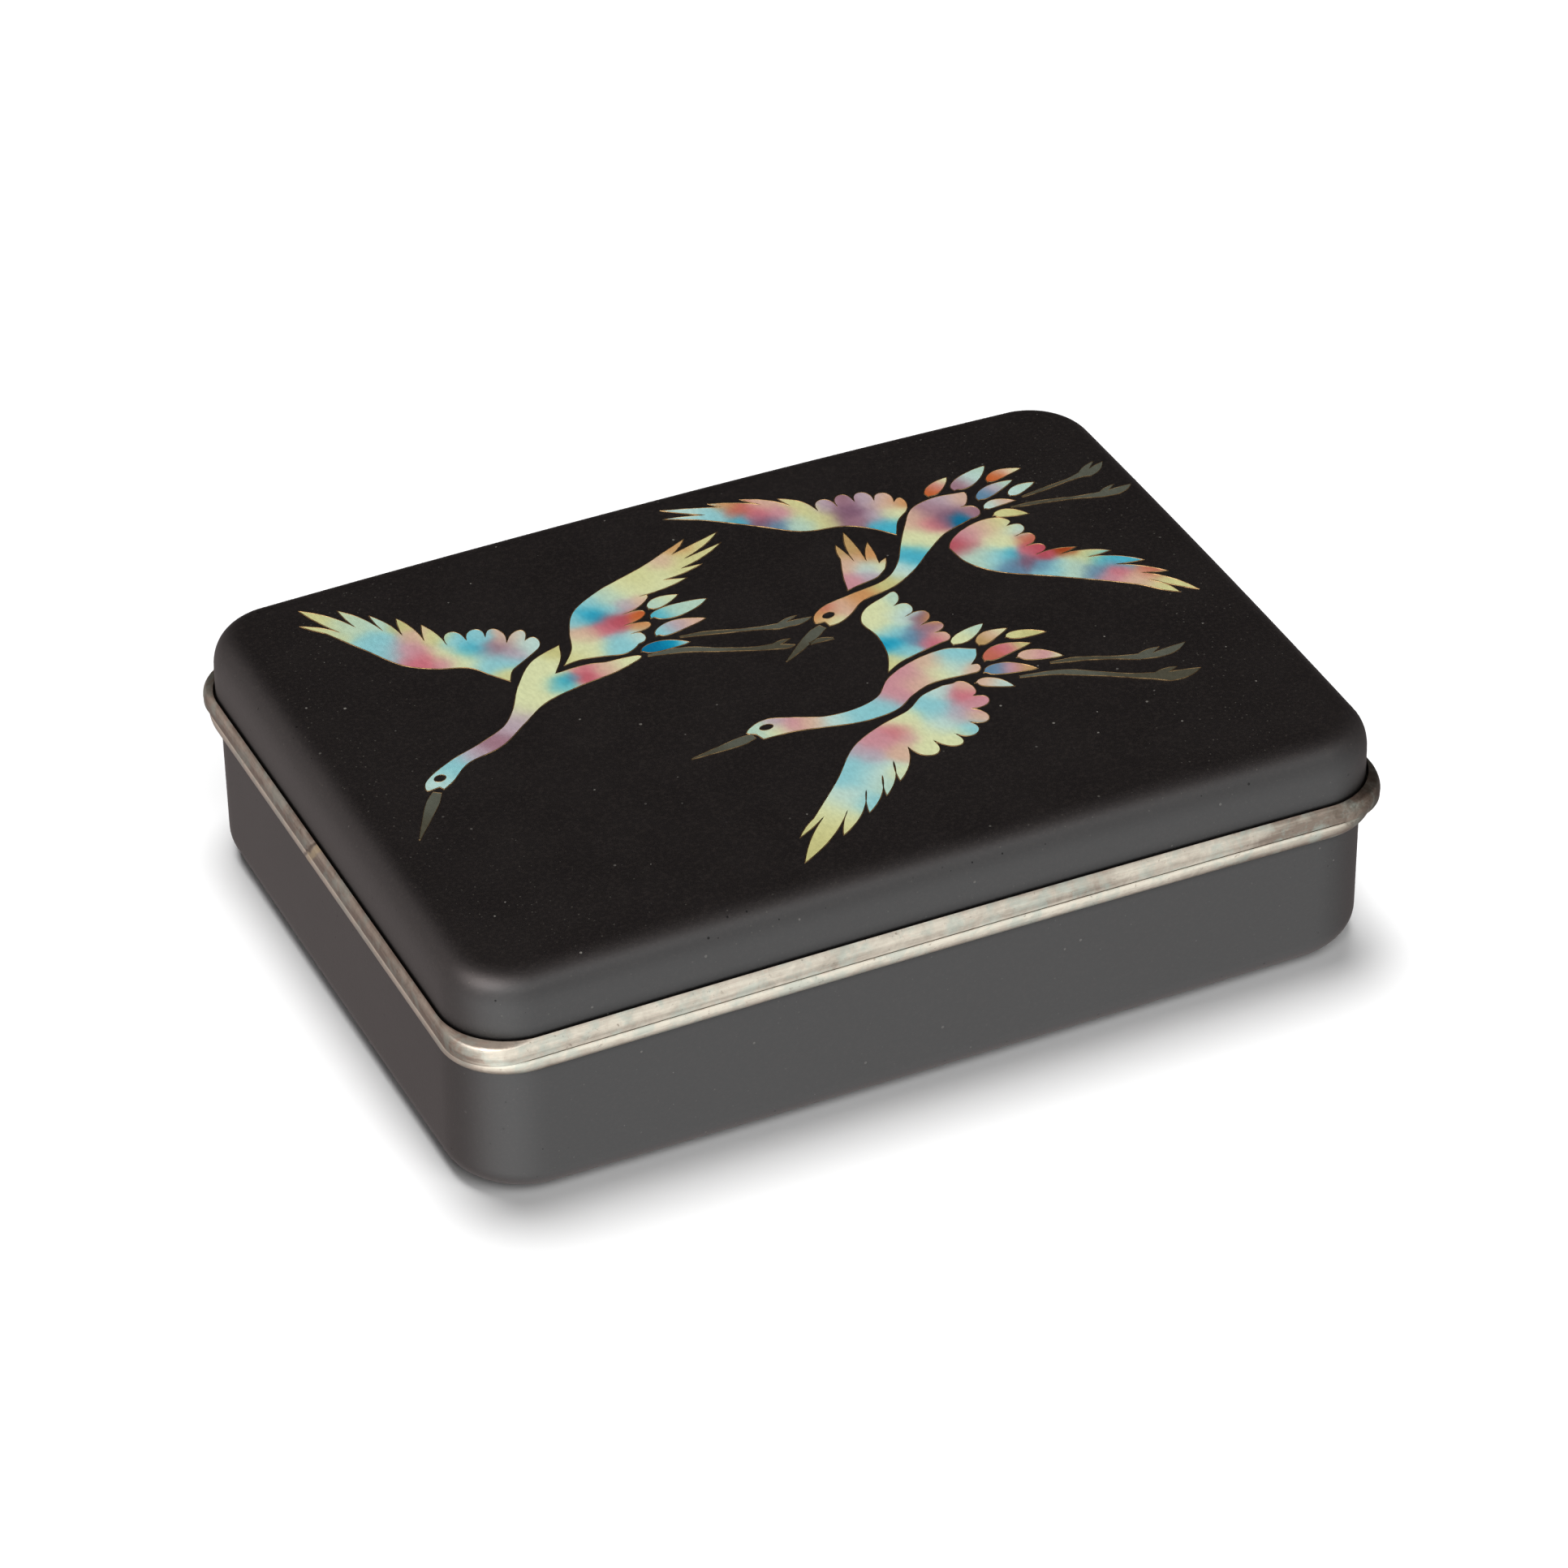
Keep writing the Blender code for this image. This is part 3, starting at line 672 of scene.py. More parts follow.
def left_crane():
    c = "crane_left"
    cell(c, curve([(-46.2, -4.2), (-47.8, -4.25), (-47.55, -2.95), (-46.4, -1.8), (-42.9, 0.2), (-38.2, 2.0),
                   (-34.6, 3.9), (-32.4, 6.5), (-30, 10.6), (-26.4, 14.8), (-22, 16.6)])
         + curve([(-22, 16.6), (-22.9, 14.0), (-24.8, 11.2)])[1:]
         + curve([(-24.8, 11.2), (-20.8, 11.3), (-18.4, 10.75), (-16.2, 10.6), (-14.5, 10.35), (-14.1, 9.95), (-14.7, 9.5)])[1:]
         + curve([(-14.7, 9.5), (-16.0, 9.0), (-18.2, 8.3), (-23.2, 7.5), (-28.2, 6.1), (-32.2, 3.25), (-36.5, 0.15),
                  (-41.4, -1.3), (-44.3, -3.8), (-45.9, -4.85)])[1:],
         (-46.8, -3.2, 2.0, "ice"), (-43.4, -1.4, 2.2, "sky"), (-40, 0.1, 1.4, "lilac"), (-37, 1.0, 1.6, "mauve"),
         (-33.4, 4.2, 2.0, "lilac"), (-30.6, 7.4, 2.4, "straw"), (-27.6, 11.4, 3.0, "straw"), (-22.8, 15.9, 1.3, "olive"),
         (-25.3, 8.9, 1.15, "teal"), (-24.4, 9.6, 0.8, "blue"), (-23.3, 9.3, 0.6, "slate"), (-21.6, 9.6, 1.3, "rose"),
         (-21.8, 9.0, 0.7, "red"), (-18.8, 9.6, 1.3, "peach"), (-16.2, 9.9, 1.5, "straw"))
    EYES.append((c, (-45.5, -2.6), 0.75, 0.58, 25))
    cell(c, spindle([(-46.9, -5.1), (-48.6, -7.4), (-52.3, -12.8)], (1.1, 1.6, 1.35, 1.0, 0.6, 0.15)),
         (-48, -7, 2, "horn"), (-51, -11, 2, "shank"))
    cell(c, wing((-30.3, 12.1), [(-31.8, 14.3), (-33.6, 16.9), (-37.2, 18.5), (-40.4, 20.9), (-43.3, 26.1), (-46.2, 31.6)],
                 [q(-48.4, 34.4, -44.6, 31.0), q(-47.3, 37.6, -42.5, 31.2), q(-43.1, 35.5, -39.8, 28.9),
                  q(-40.1, 32.7, -38.1, 27.0), q(-37.4, 30.7, -36.2, 24.6), q(-35.2, 28.0, -34.1, 22.6),
                  s(-32.8, 25.2, -31.6, 22.5), s(-29.9, 24.4, -29.3, 22.1), s(-27.4, 23.2, -27.5, 19.8),
                  s(-25.0, 21.8, -25.3, 19.3), s(-23.7, 18.9, -25.0, 16.7)],
                 [(-26.9, 15.5), (-29.1, 14.1)], out=0.03, back=0.07),
         (-46.6, 34.5, 3.4, "lemon"), (-43.2, 32.4, 1.9, "mint"), (-39.6, 30.9, 1.2, "mint"), (-37.3, 28.8, 1.2, "olive"), (-41.4, 26.6, 1.8, "sky"), (-41.2, 24.2, 1.4, "sky"),
         (-38.9, 23.6, 1.7, "pink"), (-37.8, 20.2, 1.5, "rose"), (-36.0, 19.0, 1.0, "pink"), (-37.2, 26.3, 1.2, "peach"), (-34.9, 24.6, 1.3, "lemon"), (-35.2, 21.0, 1.2, "straw"),
         (-33.8, 18.4, 1.6, "straw"), (-33.0, 22.8, 1.3, "sky"), (-31.8, 20.6, 1.4, "teal"), (-30.6, 17.0, 1.7, "sky"),
         (-30.0, 22.2, 1.1, "sky"), (-28.9, 19.2, 1.5, "mauve"), (-28.0, 17.2, 1.0, "lilac"), (-26.6, 20.8, 1.4, "peach"),
         (-25.0, 19.4, 1.8, "ice"), (-29.0, 16.2, 1.0, "sky"), (-30.2, 13.0, 1.3, "lemon"))
    cell(c, wing((-23.2, 12.3), [(-21.1, 15.0), (-19.8, 18.6), (-17.8, 22.2), (-13.6, 25.0), (-6.3, 27.7), (-1.2, 30.1)],
                 [q(1.0, 31.1, -1.7, 28.6), q(5.4, 30.8, -0.7, 27.1), q(4.8, 28.4, -1.9, 25.3), q(0.7, 25.1, -4.9, 23.9),
                  q(-2.2, 23.1, -9.0, 21.9)] +
                 [s(-8.8, 20.6, -12.4, 19.2), s(-9.7, 18.3, -13.3, 16.9), s(-10.0, 15.9, -13.3, 14.9),
                  s(-11.8, 13.9, -13.3, 12.55)],
                 [(-14.2, 11.85), (-15.6, 11.35), (-18.6, 12.1), (-21.0, 12.5)], out=0.0, back=0.05),
         (-22.0, 13.2, 1.6, "lemon"), (-19.6, 14.8, 1.8, "straw"), (-18.4, 17.4, 1.4, "peach"), (-15.6, 17.6, 1.3, "rose"),
         (-13.8, 18.3, 1.3, "red"), (-10.9, 18.1, 0.9, "flame"), (-11.2, 16.0, 1.1, "orange"), (-12.4, 13.9, 1.2, "ice"),
         (-15.2, 13.3, 1.6, "sky"), (-18.0, 20.6, 1.2, "sky"), (-15.9, 20.7, 1.4, "blue"), (-13.4, 20.5, 0.9, "sky"), (-15.0, 22.6, 1.3, "sky"),
         (-11.4, 20.9, 1.1, "lilac"), (-9.4, 20.9, 0.9, "peach"), (-12.6, 23.2, 1.6, "mint"), (-9.6, 24.2, 2.0, "straw"),
         (-7.6, 25.6, 2.0, "lemon"), (-5.0, 24.3, 2.2, "straw"), (0.0, 30.4, 1.5, "orange"), (3.0, 29.6, 2.4, "lemon"),
         (-2.0, 25.2, 2.0, "lemon"), (-3.6, 27.4, 1.2, "peach"))
    cell(c, leaf((-9.2, 18.8), (-4.5, 20.3), 2.3, 0.2, 0.8), (-8, 19.4, 2, "mint"), (-5.6, 20.1, 1.6, "straw"))
    cell(c, leaf((-9.8, 16.9), (-1.7, 17.9), 2.7, -0.05, 1.0), (-9, 17, 1.6, "teal"), (-6.4, 17.2, 1.6, "mint"), (-3, 17.7, 1.8, "mint"))
    cell(c, leaf((-10.8, 13.1), (-3.6, 14.1), 2.7, 0.3, 0.85), (-10, 13.4, 1.4, "sky"), (-7.6, 14, 1.2, "lilac"), (-5.2, 14, 1.6, "peach"))
    cell(c, leaf((-13.8, 10.8), (-7.4, 10.2), 2.2, 0.3, 1.0), (-11.8, 10.8, 1.6, "deep"), (-9.8, 10.9, 1.1, "blue"), (-8, 10.4, 0.9, "ice"))
    cell(c, shank([(-8.3, 11.7), (-5.2, 11.1), (-2.0, 10.1), (1.6, 9.05), (3.3, 8.6)], (6.3, 9.75), (4.6, 9.0), (7.8, 8.7),
                  (4.8, 7.95), (0.35, 0.95, 0.95, 0.7, 0.75, 1.0)), (-6, 11.4, 3, "shank"), (3, 8.6, 3, "horn"))
    cell(c, shank([(-13.4, 9.75), (-9.0, 9.0), (-4.8, 7.0), (-0.9, 5.35), (0.9, 4.9)], (3.5, 5.55), (1.9, 4.95), (3.5, 4.1),
                  (1.9, 3.95), (0.35, 1.3, 1.3, 0.95, 0.85, 1.0)), (-9, 9, 3, "horn"), (1, 5, 3, "shank"))
    cell(c, spindle([(5.1, 3.5), (6.6, 3.7), (8.2, 3.35)], (0.45, 0.9, 0.35)), (6, 3.5, 2, "shank"))


def right_crane():
    c = "crane_right"
    cell(c, curve([(8.75, 7.0), (7.6, 7.15), (8.1, 8.7), (10.0, 10.1), (14.0, 11.0), (19.4, 12.2), (22.3, 14.8), (24.6, 18.6),
                   (26.8, 22.0), (29.2, 25.1), (32.6, 26.2), (36.5, 25.85)])
         + lobe((36.5, 25.85), (36.6, 24.2), (34.9, 22.8))[1:] + lobe((34.9, 22.8), (36.9, 21.4), (34.9, 19.9))[1:]
         + curve([(34.9, 19.9), (30.4, 18.2), (27.0, 15.6), (23.4, 12.5), (19.5, 10.25), (14.9, 9.1), (12.0, 6.9),
                  (10.1, 6.0), (8.9, 5.95)])[1:],
         (8.4, 8.4, 1.6, "orange"), (10.2, 9.7, 1.0, "coral"), (9.8, 6.7, 1.2, "straw"), (12.0, 9.0, 1.6, "peach"),
         (15.0, 10.0, 1.8, "orange"), (19.2, 11.2, 1.7, "olive"), (22.0, 13.2, 1.5, "ice"), (24.6, 15.4, 1.6, "teal"),
         (27.0, 18.8, 1.8, "straw"), (28.4, 22.6, 1.7, "peach"), (29.8, 21.0, 1.2, "rose"), (31.6, 23.6, 1.6, "mauve"),
         (31.4, 21.2, 1.0, "plum"), (33.4, 20.8, 0.95, "deep"), (33.0, 22.4, 1.2, "plum"), (33.4, 24.8, 1.6, "lilac"),
         (35.8, 24.6, 1.4, "peach"), (35.6, 21.4, 1.0, "mauve"))
    EYES.append((c, (9.75, 8.05), 0.82, 0.52, 20))
    cell(c, spindle([(8.1, 6.15), (6.9, 5.5), (3.8, 3.3), (1.0, 1.3)], (1.1, 1.55, 1.45, 1.1, 0.65, 0.15)),
         (7, 5, 2, "horn"), (3, 2.6, 2, "shank"))
    cell(c, wing((25.0, 20.6), [(23.0, 23.0), (20.4, 25.0), (14.9, 26.3), (10.4, 29.8), (5.0, 33.9), (2.2, 35.5)],
                 [q(0.6, 36.3, 5.6, 34.95, 0.02), q(1.1, 38.2, 8.2, 35.6, 0.02), q(7.0, 37.0, 12.8, 34.1, 0.05),
                  q(11.0, 36.2, 16.0, 32.3, 0.09), q(15.3, 34.3, 18.6, 29.7, 0.15), s(20.0, 32.0, 21.2, 29.5),
                  s(22.5, 32.0, 23.6, 29.6), s(25.2, 31.4, 25.9, 28.8), s(27.7, 30.1, 28.0, 27.5), s(29.4, 27.5, 28.4, 24.9)],
                 [(26.6, 23.4)], out=0.02, back=0.02),
         (3.0, 36.8, 2.4, "ice"), (6.4, 34.4, 1.6, "sky"), (8.6, 36.0, 1.0, "orange"), (9.6, 33.9, 1.3, "coral"),
         (11.4, 32.4, 1.4, "rose"), (9.0, 31.8, 1.1, "teal"), (11.4, 30.4, 1.2, "plum"), (12.6, 28.8, 1.2, "slate"),
         (13.4, 34.2, 1.3, "peach"), (14.2, 31.2, 1.3, "pink"), (16.6, 32.8, 1.1, "lemon"), (17.2, 30.0, 1.5, "lemon"),
         (15.4, 28.0, 1.5, "mint"), (18.4, 27.4, 1.4, "lemon"), (19.8, 30.4, 1.2, "lilac"), (22.2, 30.4, 1.2, "mauve"),
         (21.8, 27.6, 1.9, "plum"), (22.0, 25.4, 1.1, "mauve"), (25.0, 29.2, 1.3, "lilac"), (27.0, 28.0, 1.4, "peach"),
         (28.8, 27.2, 1.0, "orange"), (24.4, 25.6, 1.2, "lilac"), (24.5, 22.9, 1.4, "teal"), (26.6, 25.2, 1.2, "straw"))
    cell(c, wing((29.5, 15.1), [(30.0, 11.4), (32.3, 8.0), (38.3, 3.9), (43.7, 0.2), (46.8, -2.2), (48.8, -4.4)],
                 [q(50.5, -5.7, 48.3, -1.6), q(52.8, -6.1, 48.2, 0.1), q(51.3, -0.9, 46.2, 3.1, 0.06), q(49.8, 2.5, 43.9, 6.0),
                  q(47.1, 6.1, 41.2, 8.0), q(43.7, 8.6, 38.4, 9.2), s(40.5, 10.6, 38.1, 11.4), s(40.4, 13.2, 38.0, 14.0),
                  s(40.1, 15.6, 38.1, 16.5)],
                 [(39.0, 17.3), (38.1, 18.6), (35.9, 19.0), (32.4, 17.9), (30.2, 16.2)], out=0.02, back=0.09),
         (30.8, 15.0, 1.5, "red"), (33.0, 16.6, 1.5, "pink"), (35.4, 17.2, 1.6, "peach"), (37.8, 17.2, 1.5, "lemon"),
         (35.6, 14.2, 1.7, "straw"), (38.8, 15.4, 1.2, "ice"), (31.6, 12.0, 1.8, "mint"), (34.0, 10.6, 1.4, "sky"),
         (35.6, 10.4, 1.0, "teal"), (34.6, 8.4, 1.1, "slate"), (36.6, 8.6, 1.1, "plum"), (37.8, 10.2, 0.9, "rose"),
         (39.2, 13.0, 1.1, "coral"), (38.8, 10.6, 0.9, "red"), (39.4, 8.7, 0.9, "red"), (42.4, 8.7, 1.0, "rust"),
         (38.2, 6.6, 1.0, "slate"), (38.8, 5.6, 1.2, "sky"), (41.4, 4.8, 1.6, "mint"), (44.2, 6.4, 1.5, "lemon"),
         (45.4, 4.8, 1.3, "teal"), (47.6, 3.4, 1.2, "teal"), (43.4, 2.9, 1.2, "slate"), (45.8, 1.9, 1.2, "rose"),
         (44.4, 0.6, 1.1, "pink"), (49.6, -0.1, 1.3, "coral"), (47.4, -1.2, 1.5, "peach"), (50.2, -3.4, 2.0, "lemon"))
    cell(c, wing((14.2, 11.95), [(15.1, 15.2), (16.4, 18.6)],
                 [q(17.2, 21.7, 17.7, 17.5), q(19.3, 23.9, 19.1, 16.9), q(21.0, 20.6, 20.3, 15.8), q(21.6, 16.5, 20.3, 14.2)],
                 [(18.6, 13.0), (16.2, 12.5)], out=0.06, back=0.03),
         (15.2, 13.4, 1.3, "pink"), (16.6, 17.6, 1.4, "peach"), (17.2, 20.4, 1.5, "tan"), (18.8, 15.4, 1.3, "ice"),
         (18.2, 13.6, 1.1, "lilac"), (19.2, 21.4, 1.8, "tan"), (20.4, 17.6, 1.5, "orange"), (20.4, 15.0, 1.0, "straw"))
    for base, tip, wide, lean, tints in (
            ((32.4, 26.6), (36.6, 29.9), 2.4, 0.05, [(33.6, 27.8, 1.2, "flame"), (34.4, 28.4, 1.0, "pink"), (35.8, 29.4, 1.2, "straw")]),
            ((35.9, 26.5), (42.1, 30.3), 3.1, -0.1, [(36.8, 27.8, 1.4, "mauve"), (39.0, 28.8, 1.4, "ice"), (41.4, 30.0, 1.6, "mint")]),
            ((40.5, 26.5), (45.9, 27.8), 2.3, 0.35, [(41.8, 27.6, 1.2, "flame"), (43.4, 28.2, 1.1, "peach"), (45.2, 28.0, 1.0, "straw")]),
            ((37.6, 23.2), (43.8, 25.8), 2.5, 0.2, [(38.8, 24.2, 1.3, "slate"), (40.4, 25.0, 1.0, "lilac"), (42.8, 25.5, 1.4, "mint")]),
            ((41.6, 22.4), (46.0, 24.2), 2.1, 0.2, [(42.4, 23.2, 1.4, "ice"), (45.0, 24.0, 1.4, "mint")]),
            ((37.3, 21.1), (42.0, 21.3), 2.0, 0.45, [(38.4, 21.8, 1.3, "ice"), (40.4, 21.9, 1.4, "peach")]),
            ((37.6, 19.3), (42.1, 17.8), 2.2, 0.3, [(38.8, 19.4, 1.5, "lemon"), (41.0, 18.9, 1.3, "olive")])):
        cell(c, leaf(base, tip, wide, lean), *tints)
    cell(c, shank([(42.9, 21.7), (46.0, 22.15), (49.4, 22.7), (51.9, 23.2)], (54.7, 25.3), (53.4, 24.0), (55.7, 24.8), (52.9, 22.4),
                  (0.3, 0.75, 0.7, 0.6, 0.95)), (44, 22, 4, "shank"), (52, 23, 2, "horn"))
    cell(c, shank([(40.5, 20.15), (44.2, 19.7), (48.2, 18.85), (51.9, 18.0)], (54.5, 19.4), (53.3, 18.5), (56.5, 18.6), (53.6, 17.2),
                  (0.3, 0.9, 0.75, 0.65, 1.0)), (42, 20, 4, "shank"), (52, 18, 2, "horn"))


def front_crane():
    c = "crane_front"
    cell(c, curve([(-8.7, -10.9), (-9.6, -10.2), (-8.3, -9.1), (-6.3, -8.6), (-3.6, -9.5), (0.4, -11.15), (4.6, -11.15), (7.6, -10.05),
                   (10.2, -7.3), (14.1, -5.3), (19.3, -4.55), (22.6, -6.15)])
         + curve([(22.6, -6.15), (21.9, -7.6), (20.6, -8.9)])[1:] + lobe((20.6, -8.9), (21.45, -9.9), (19.9, -10.6))[1:]
         + curve([(19.9, -10.6), (14.6, -10.4), (11.4, -11.7), (8.6, -13.5), (4.2, -14.05), (-0.4, -13.2), (-4.2, -12.35),
                  (-8.3, -12.15)])[1:],
         (-8.6, -10.6, 1.6, "mint"), (-6.2, -11.4, 1.3, "straw"), (-5.6, -9.6, 1.0, "lilac"), (-4.2, -10.8, 1.2, "pink"),
         (-1.8, -11.5, 1.4, "peach"), (0.8, -12.4, 1.5, "ice"), (4.4, -12.6, 2.0, "sky"), (7.2, -12.0, 1.4, "sky"),
         (9.4, -10.4, 1.5, "pink"), (12.6, -7.4, 1.8, "pink"), (13.2, -9.6, 1.4, "peach"), (16.4, -8.6, 1.8, "straw"),
         (16.2, -6.2, 1.4, "peach"), (19.4, -6.4, 1.6, "sky"), (18.4, -8.4, 1.3, "ice"), (20.4, -10.0, 1.1, "peach"))
    EYES.append((c, (-7.0, -10.1), 0.85, 0.5, 5))
    cell(c, spindle([(-9.1, -11.1), (-11.6, -11.5), (-17.6, -12.15)], (1.0, 1.6, 1.3, 0.95, 0.55, 0.15)),
         (-11, -11.2, 2, "horn"), (-16, -12, 2, "shank"))
    cell(c, wing((10.9, -6.1), [(12.5, -2.6), (13.1, 1.4), (12.7, 5.0), (14.2, 7.3), (18.1, 9.1)],
                 [s(19.4, 8.6, 17.8, 6.5), s(19.8, 5.6, 18.0, 3.8), s(21.0, 3.6, 18.9, 1.3), s(21.5, 0.7, 19.7, -0.9),
                  s(21.2, -2.1, 19.6, -3.1)],
                 [(16.6, -3.8), (13.2, -4.8)]),
         (12.6, -4.4, 1.3, "lemon"), (14.6, -2.8, 1.3, "sky"), (13.9, -0.8, 1.3, "blue"), (15.0, 1.4, 1.3, "sky"),
         (17.0, -0.6, 1.2, "slate"), (14.2, 3.8, 1.6, "straw"), (15.8, 6.4, 1.8, "straw"), (18.6, 7.2, 1.2, "mint"),
         (17.4, 4.2, 1.3, "ice"), (19.4, 3.0, 0.9, "plum"), (18.9, 4.2, 0.8, "ice"), (20.4, 2.2, 0.9, "orange"), (19.2, 0.2, 1.1, "mauve"),
         (18.6, -2.2, 1.2, "rose"), (20.4, -1.6, 1.0, "peach"))
    cell(c, wing((15.4, -11.4), [(12.4, -12.2), (9.6, -14.2), (4.6, -15.9), (0.4, -18.3), (-4.0, -23.3), (-9.9, -29.2)],
                 [q(-12.9, -31.9, -8.7, -29.4, 0.03), q(-14.5, -36.6, -5.7, -29.5, 0.06), q(-8.2, -33.7, -2.0, -26.8),
                  q(-3.6, -31.0, 1.0, -24.9), q(-0.3, -28.8, 3.4, -22.9), q(2.4, -26.8, 6.2, -21.1),
                  s(8.3, -24.0, 9.5, -21.1), s(11.9, -23.5, 12.4, -21.0), s(14.9, -22.1, 15.0, -19.5), s(17.6, -20.0, 16.5, -17.2),
                  s(19.3, -16.6, 17.8, -14.9), s(18.7, -12.6, 16.8, -11.5)],
                 [], out=0.045, back=0.09),
         (-11.6, -32.6, 3.4, "olive"), (-9.6, -32.2, 2.0, "lemon"), (-7.6, -29.4, 2.4, "straw"), (-4.8, -27.4, 1.8, "ice"), (-2.4, -23.2, 1.8, "sky"),
         (0.6, -24.4, 1.8, "ice"), (-2.8, -29.4, 1.4, "sky"), (1.2, -27.0, 1.6, "mint"), (1.2, -20.6, 1.3, "lilac"), (-0.6, -21.8, 1.3, "sky"),
         (4.0, -18.6, 1.4, "pink"), (6.6, -17.8, 1.2, "rose"), (7.2, -19.4, 0.9, "pink"), (5.0, -21.4, 1.2, "peach"), (2.6, -25.4, 1.1, "straw"),
         (8.8, -19.4, 1.8, "straw"), (8.4, -16.0, 1.5, "straw"), (8.6, -22.8, 1.4, "straw"), (12.0, -22.0, 1.5, "straw"),
         (12.6, -15.2, 1.7, "sky"), (12.0, -18.4, 1.5, "ice"), (14.6, -17.4, 1.3, "lilac"), (14.6, -21.0, 1.3, "sky"),
         (16.6, -14.0, 1.3, "rose"), (17.2, -16.4, 1.2, "pink"), (16.4, -19.0, 1.1, "peach"), (18.0, -12.8, 1.0, "peach"),
         (14.6, -12.4, 1.2, "ice"))
    for base, tip, wide, lean, tints in (
            ((20.5, -4.3), (26.0, -1.5), 2.5, -0.05, [(22.0, -3.0, 1.6, "straw"), (24.4, -1.9, 1.5, "mint")]),
            ((23.2, -5.8), (28.1, -3.7), 2.5, 0.35, [(24.2, -4.8, 1.2, "tan"), (25.6, -4.2, 1.0, "peach"), (27.2, -3.9, 1.1, "straw")]),
            ((26.8, -5.5), (32.0, -6.5), 2.1, 0.1, [(28.0, -5.4, 1.4, "lemon"), (30.4, -6.0, 1.4, "olive")]),
            ((22.3, -9.0), (29.3, -7.8), 3.0, 0.35, [(23.6, -8.2, 1.4, "coral"), (25.8, -7.6, 1.2, "rose"), (28.0, -7.6, 1.2, "olive")]),
            ((26.1, -9.9), (31.6, -12.0), 2.7, 0.2, [(27.6, -9.8, 1.6, "peach"), (29.4, -10.8, 1.3, "pink"), (31, -11.6, 1, "straw")]),
            ((21.1, -11.1), (27.6, -13.1), 2.9, 0.25, [(22.6, -11.2, 1.3, "slate"), (24.6, -12.0, 1.2, "pink"), (26.4, -12.6, 1.1, "tan")]),
            ((19.2, -12.6), (23.4, -15.3), 2.3, 0.25, [(20.6, -13.0, 1.3, "peach"), (22.2, -14.2, 1.3, "ice")])):
        cell(c, leaf(base, tip, wide, lean), *tints)
    cell(c, shank([(29.2, -12.6), (32.9, -13.4), (36.6, -14.9), (39.3, -16.0)], (42.6, -15.2), (41.3, -16.0), (45.9, -15.6), (41.6, -17.1),
                  (0.4, 1.05, 0.9, 0.75, 1.0)), (32, -13.4, 4, "shank"), (40, -16, 2, "horn"))
    cell(c, shank([(24.6, -13.7), (29.4, -14.9), (33.0, -16.9), (36.8, -19.2), (39.2, -20.4)], (42.6, -19.8), (41.2, -20.4), (45.0, -21.2),
                  (40.4, -22.1), (0.5, 0.95, 1.5, 1.1, 1.0, 1.15)), (29.4, -15, 3, "horn"), (39, -20.4, 3, "shank"))


left_crane()
right_crane()
front_crane()


# ---------------------------------------------------------------- the picture as geometry
PROUD = 0.03           # the coloured enamel stands this far above the black
WIRE_HALF = 0.065      # half the width of a wire
VIVID = 1.03           # how strong the colours are
ENAMEL_GAIN = 0.74     # how light they are


def tidy(ring, step=0.30):
    """The ring with points no closer than a hair and no farther apart than step."""
    pts = [np.array(p, float) for p in ring]
    out = [pts[0]]
    for p in pts[1:]:
        if np.linalg.norm(p - out[-1]) > 0.03:
            out.append(p)
    if np.linalg.norm(out[0] - out[-1]) < 0.03:
        out.pop()
    dense = []
    for a, b in zip(out, out[1:] + out[:1]):
        n = max(1, int(math.ceil(np.linalg.norm(b - a) / step)))
        dense += [a + (b - a) * k / n for k in range(n)]
    return np.array(dense)


def inside(points, ring):
    """Which points lie inside the ring."""
    x, y = points[:, 0], points[:, 1]
    hit = np.zeros(len(points), bool)
    for (ax, ay), (bx, by) in zip(ring, np.roll(ring, -1, 0)):
        if ay == by:
            continue
        cross = ((ay > y) != (by > y)) & (x < (bx - ax) * (y - ay) / (by - ay) + ax)
        hit ^= cross
    return hit


def blend_tints(points, tints):
    """Each point's colour: the soft blots near it, weighed by how close they are, blended as the eye sees them."""
    drift = np.array([(noise.noise((x * 0.8, y * 0.8, 3.0)), noise.noise((x * 0.8, y * 0.8, 9.0))) for x, y in points])
    p = points + 0.30 * drift
    total = np.zeros(len(p))
    colour = np.zeros((len(p), 3))
    for x, y, reach, ink in tints:
        d = ((p[:, 0] - x) ** 2 + (p[:, 1] - y) ** 2) / reach ** 2
        w = np.exp(-0.72 * d) + 0.012 / (d + 0.4) ** 1.5
        total += w
        colour += w[:, None] * np.array(INK[ink], float)
    colour /= total[:, None]
    grey = colour.mean(1)[:, None]
    colour = np.clip(grey + VIVID * (colour - grey), 4, 250) / 255
    return ENAMEL_GAIN * np.where(colour <= 0.04045, colour / 12.92, ((colour + 0.055) / 1.055) ** 2.4)


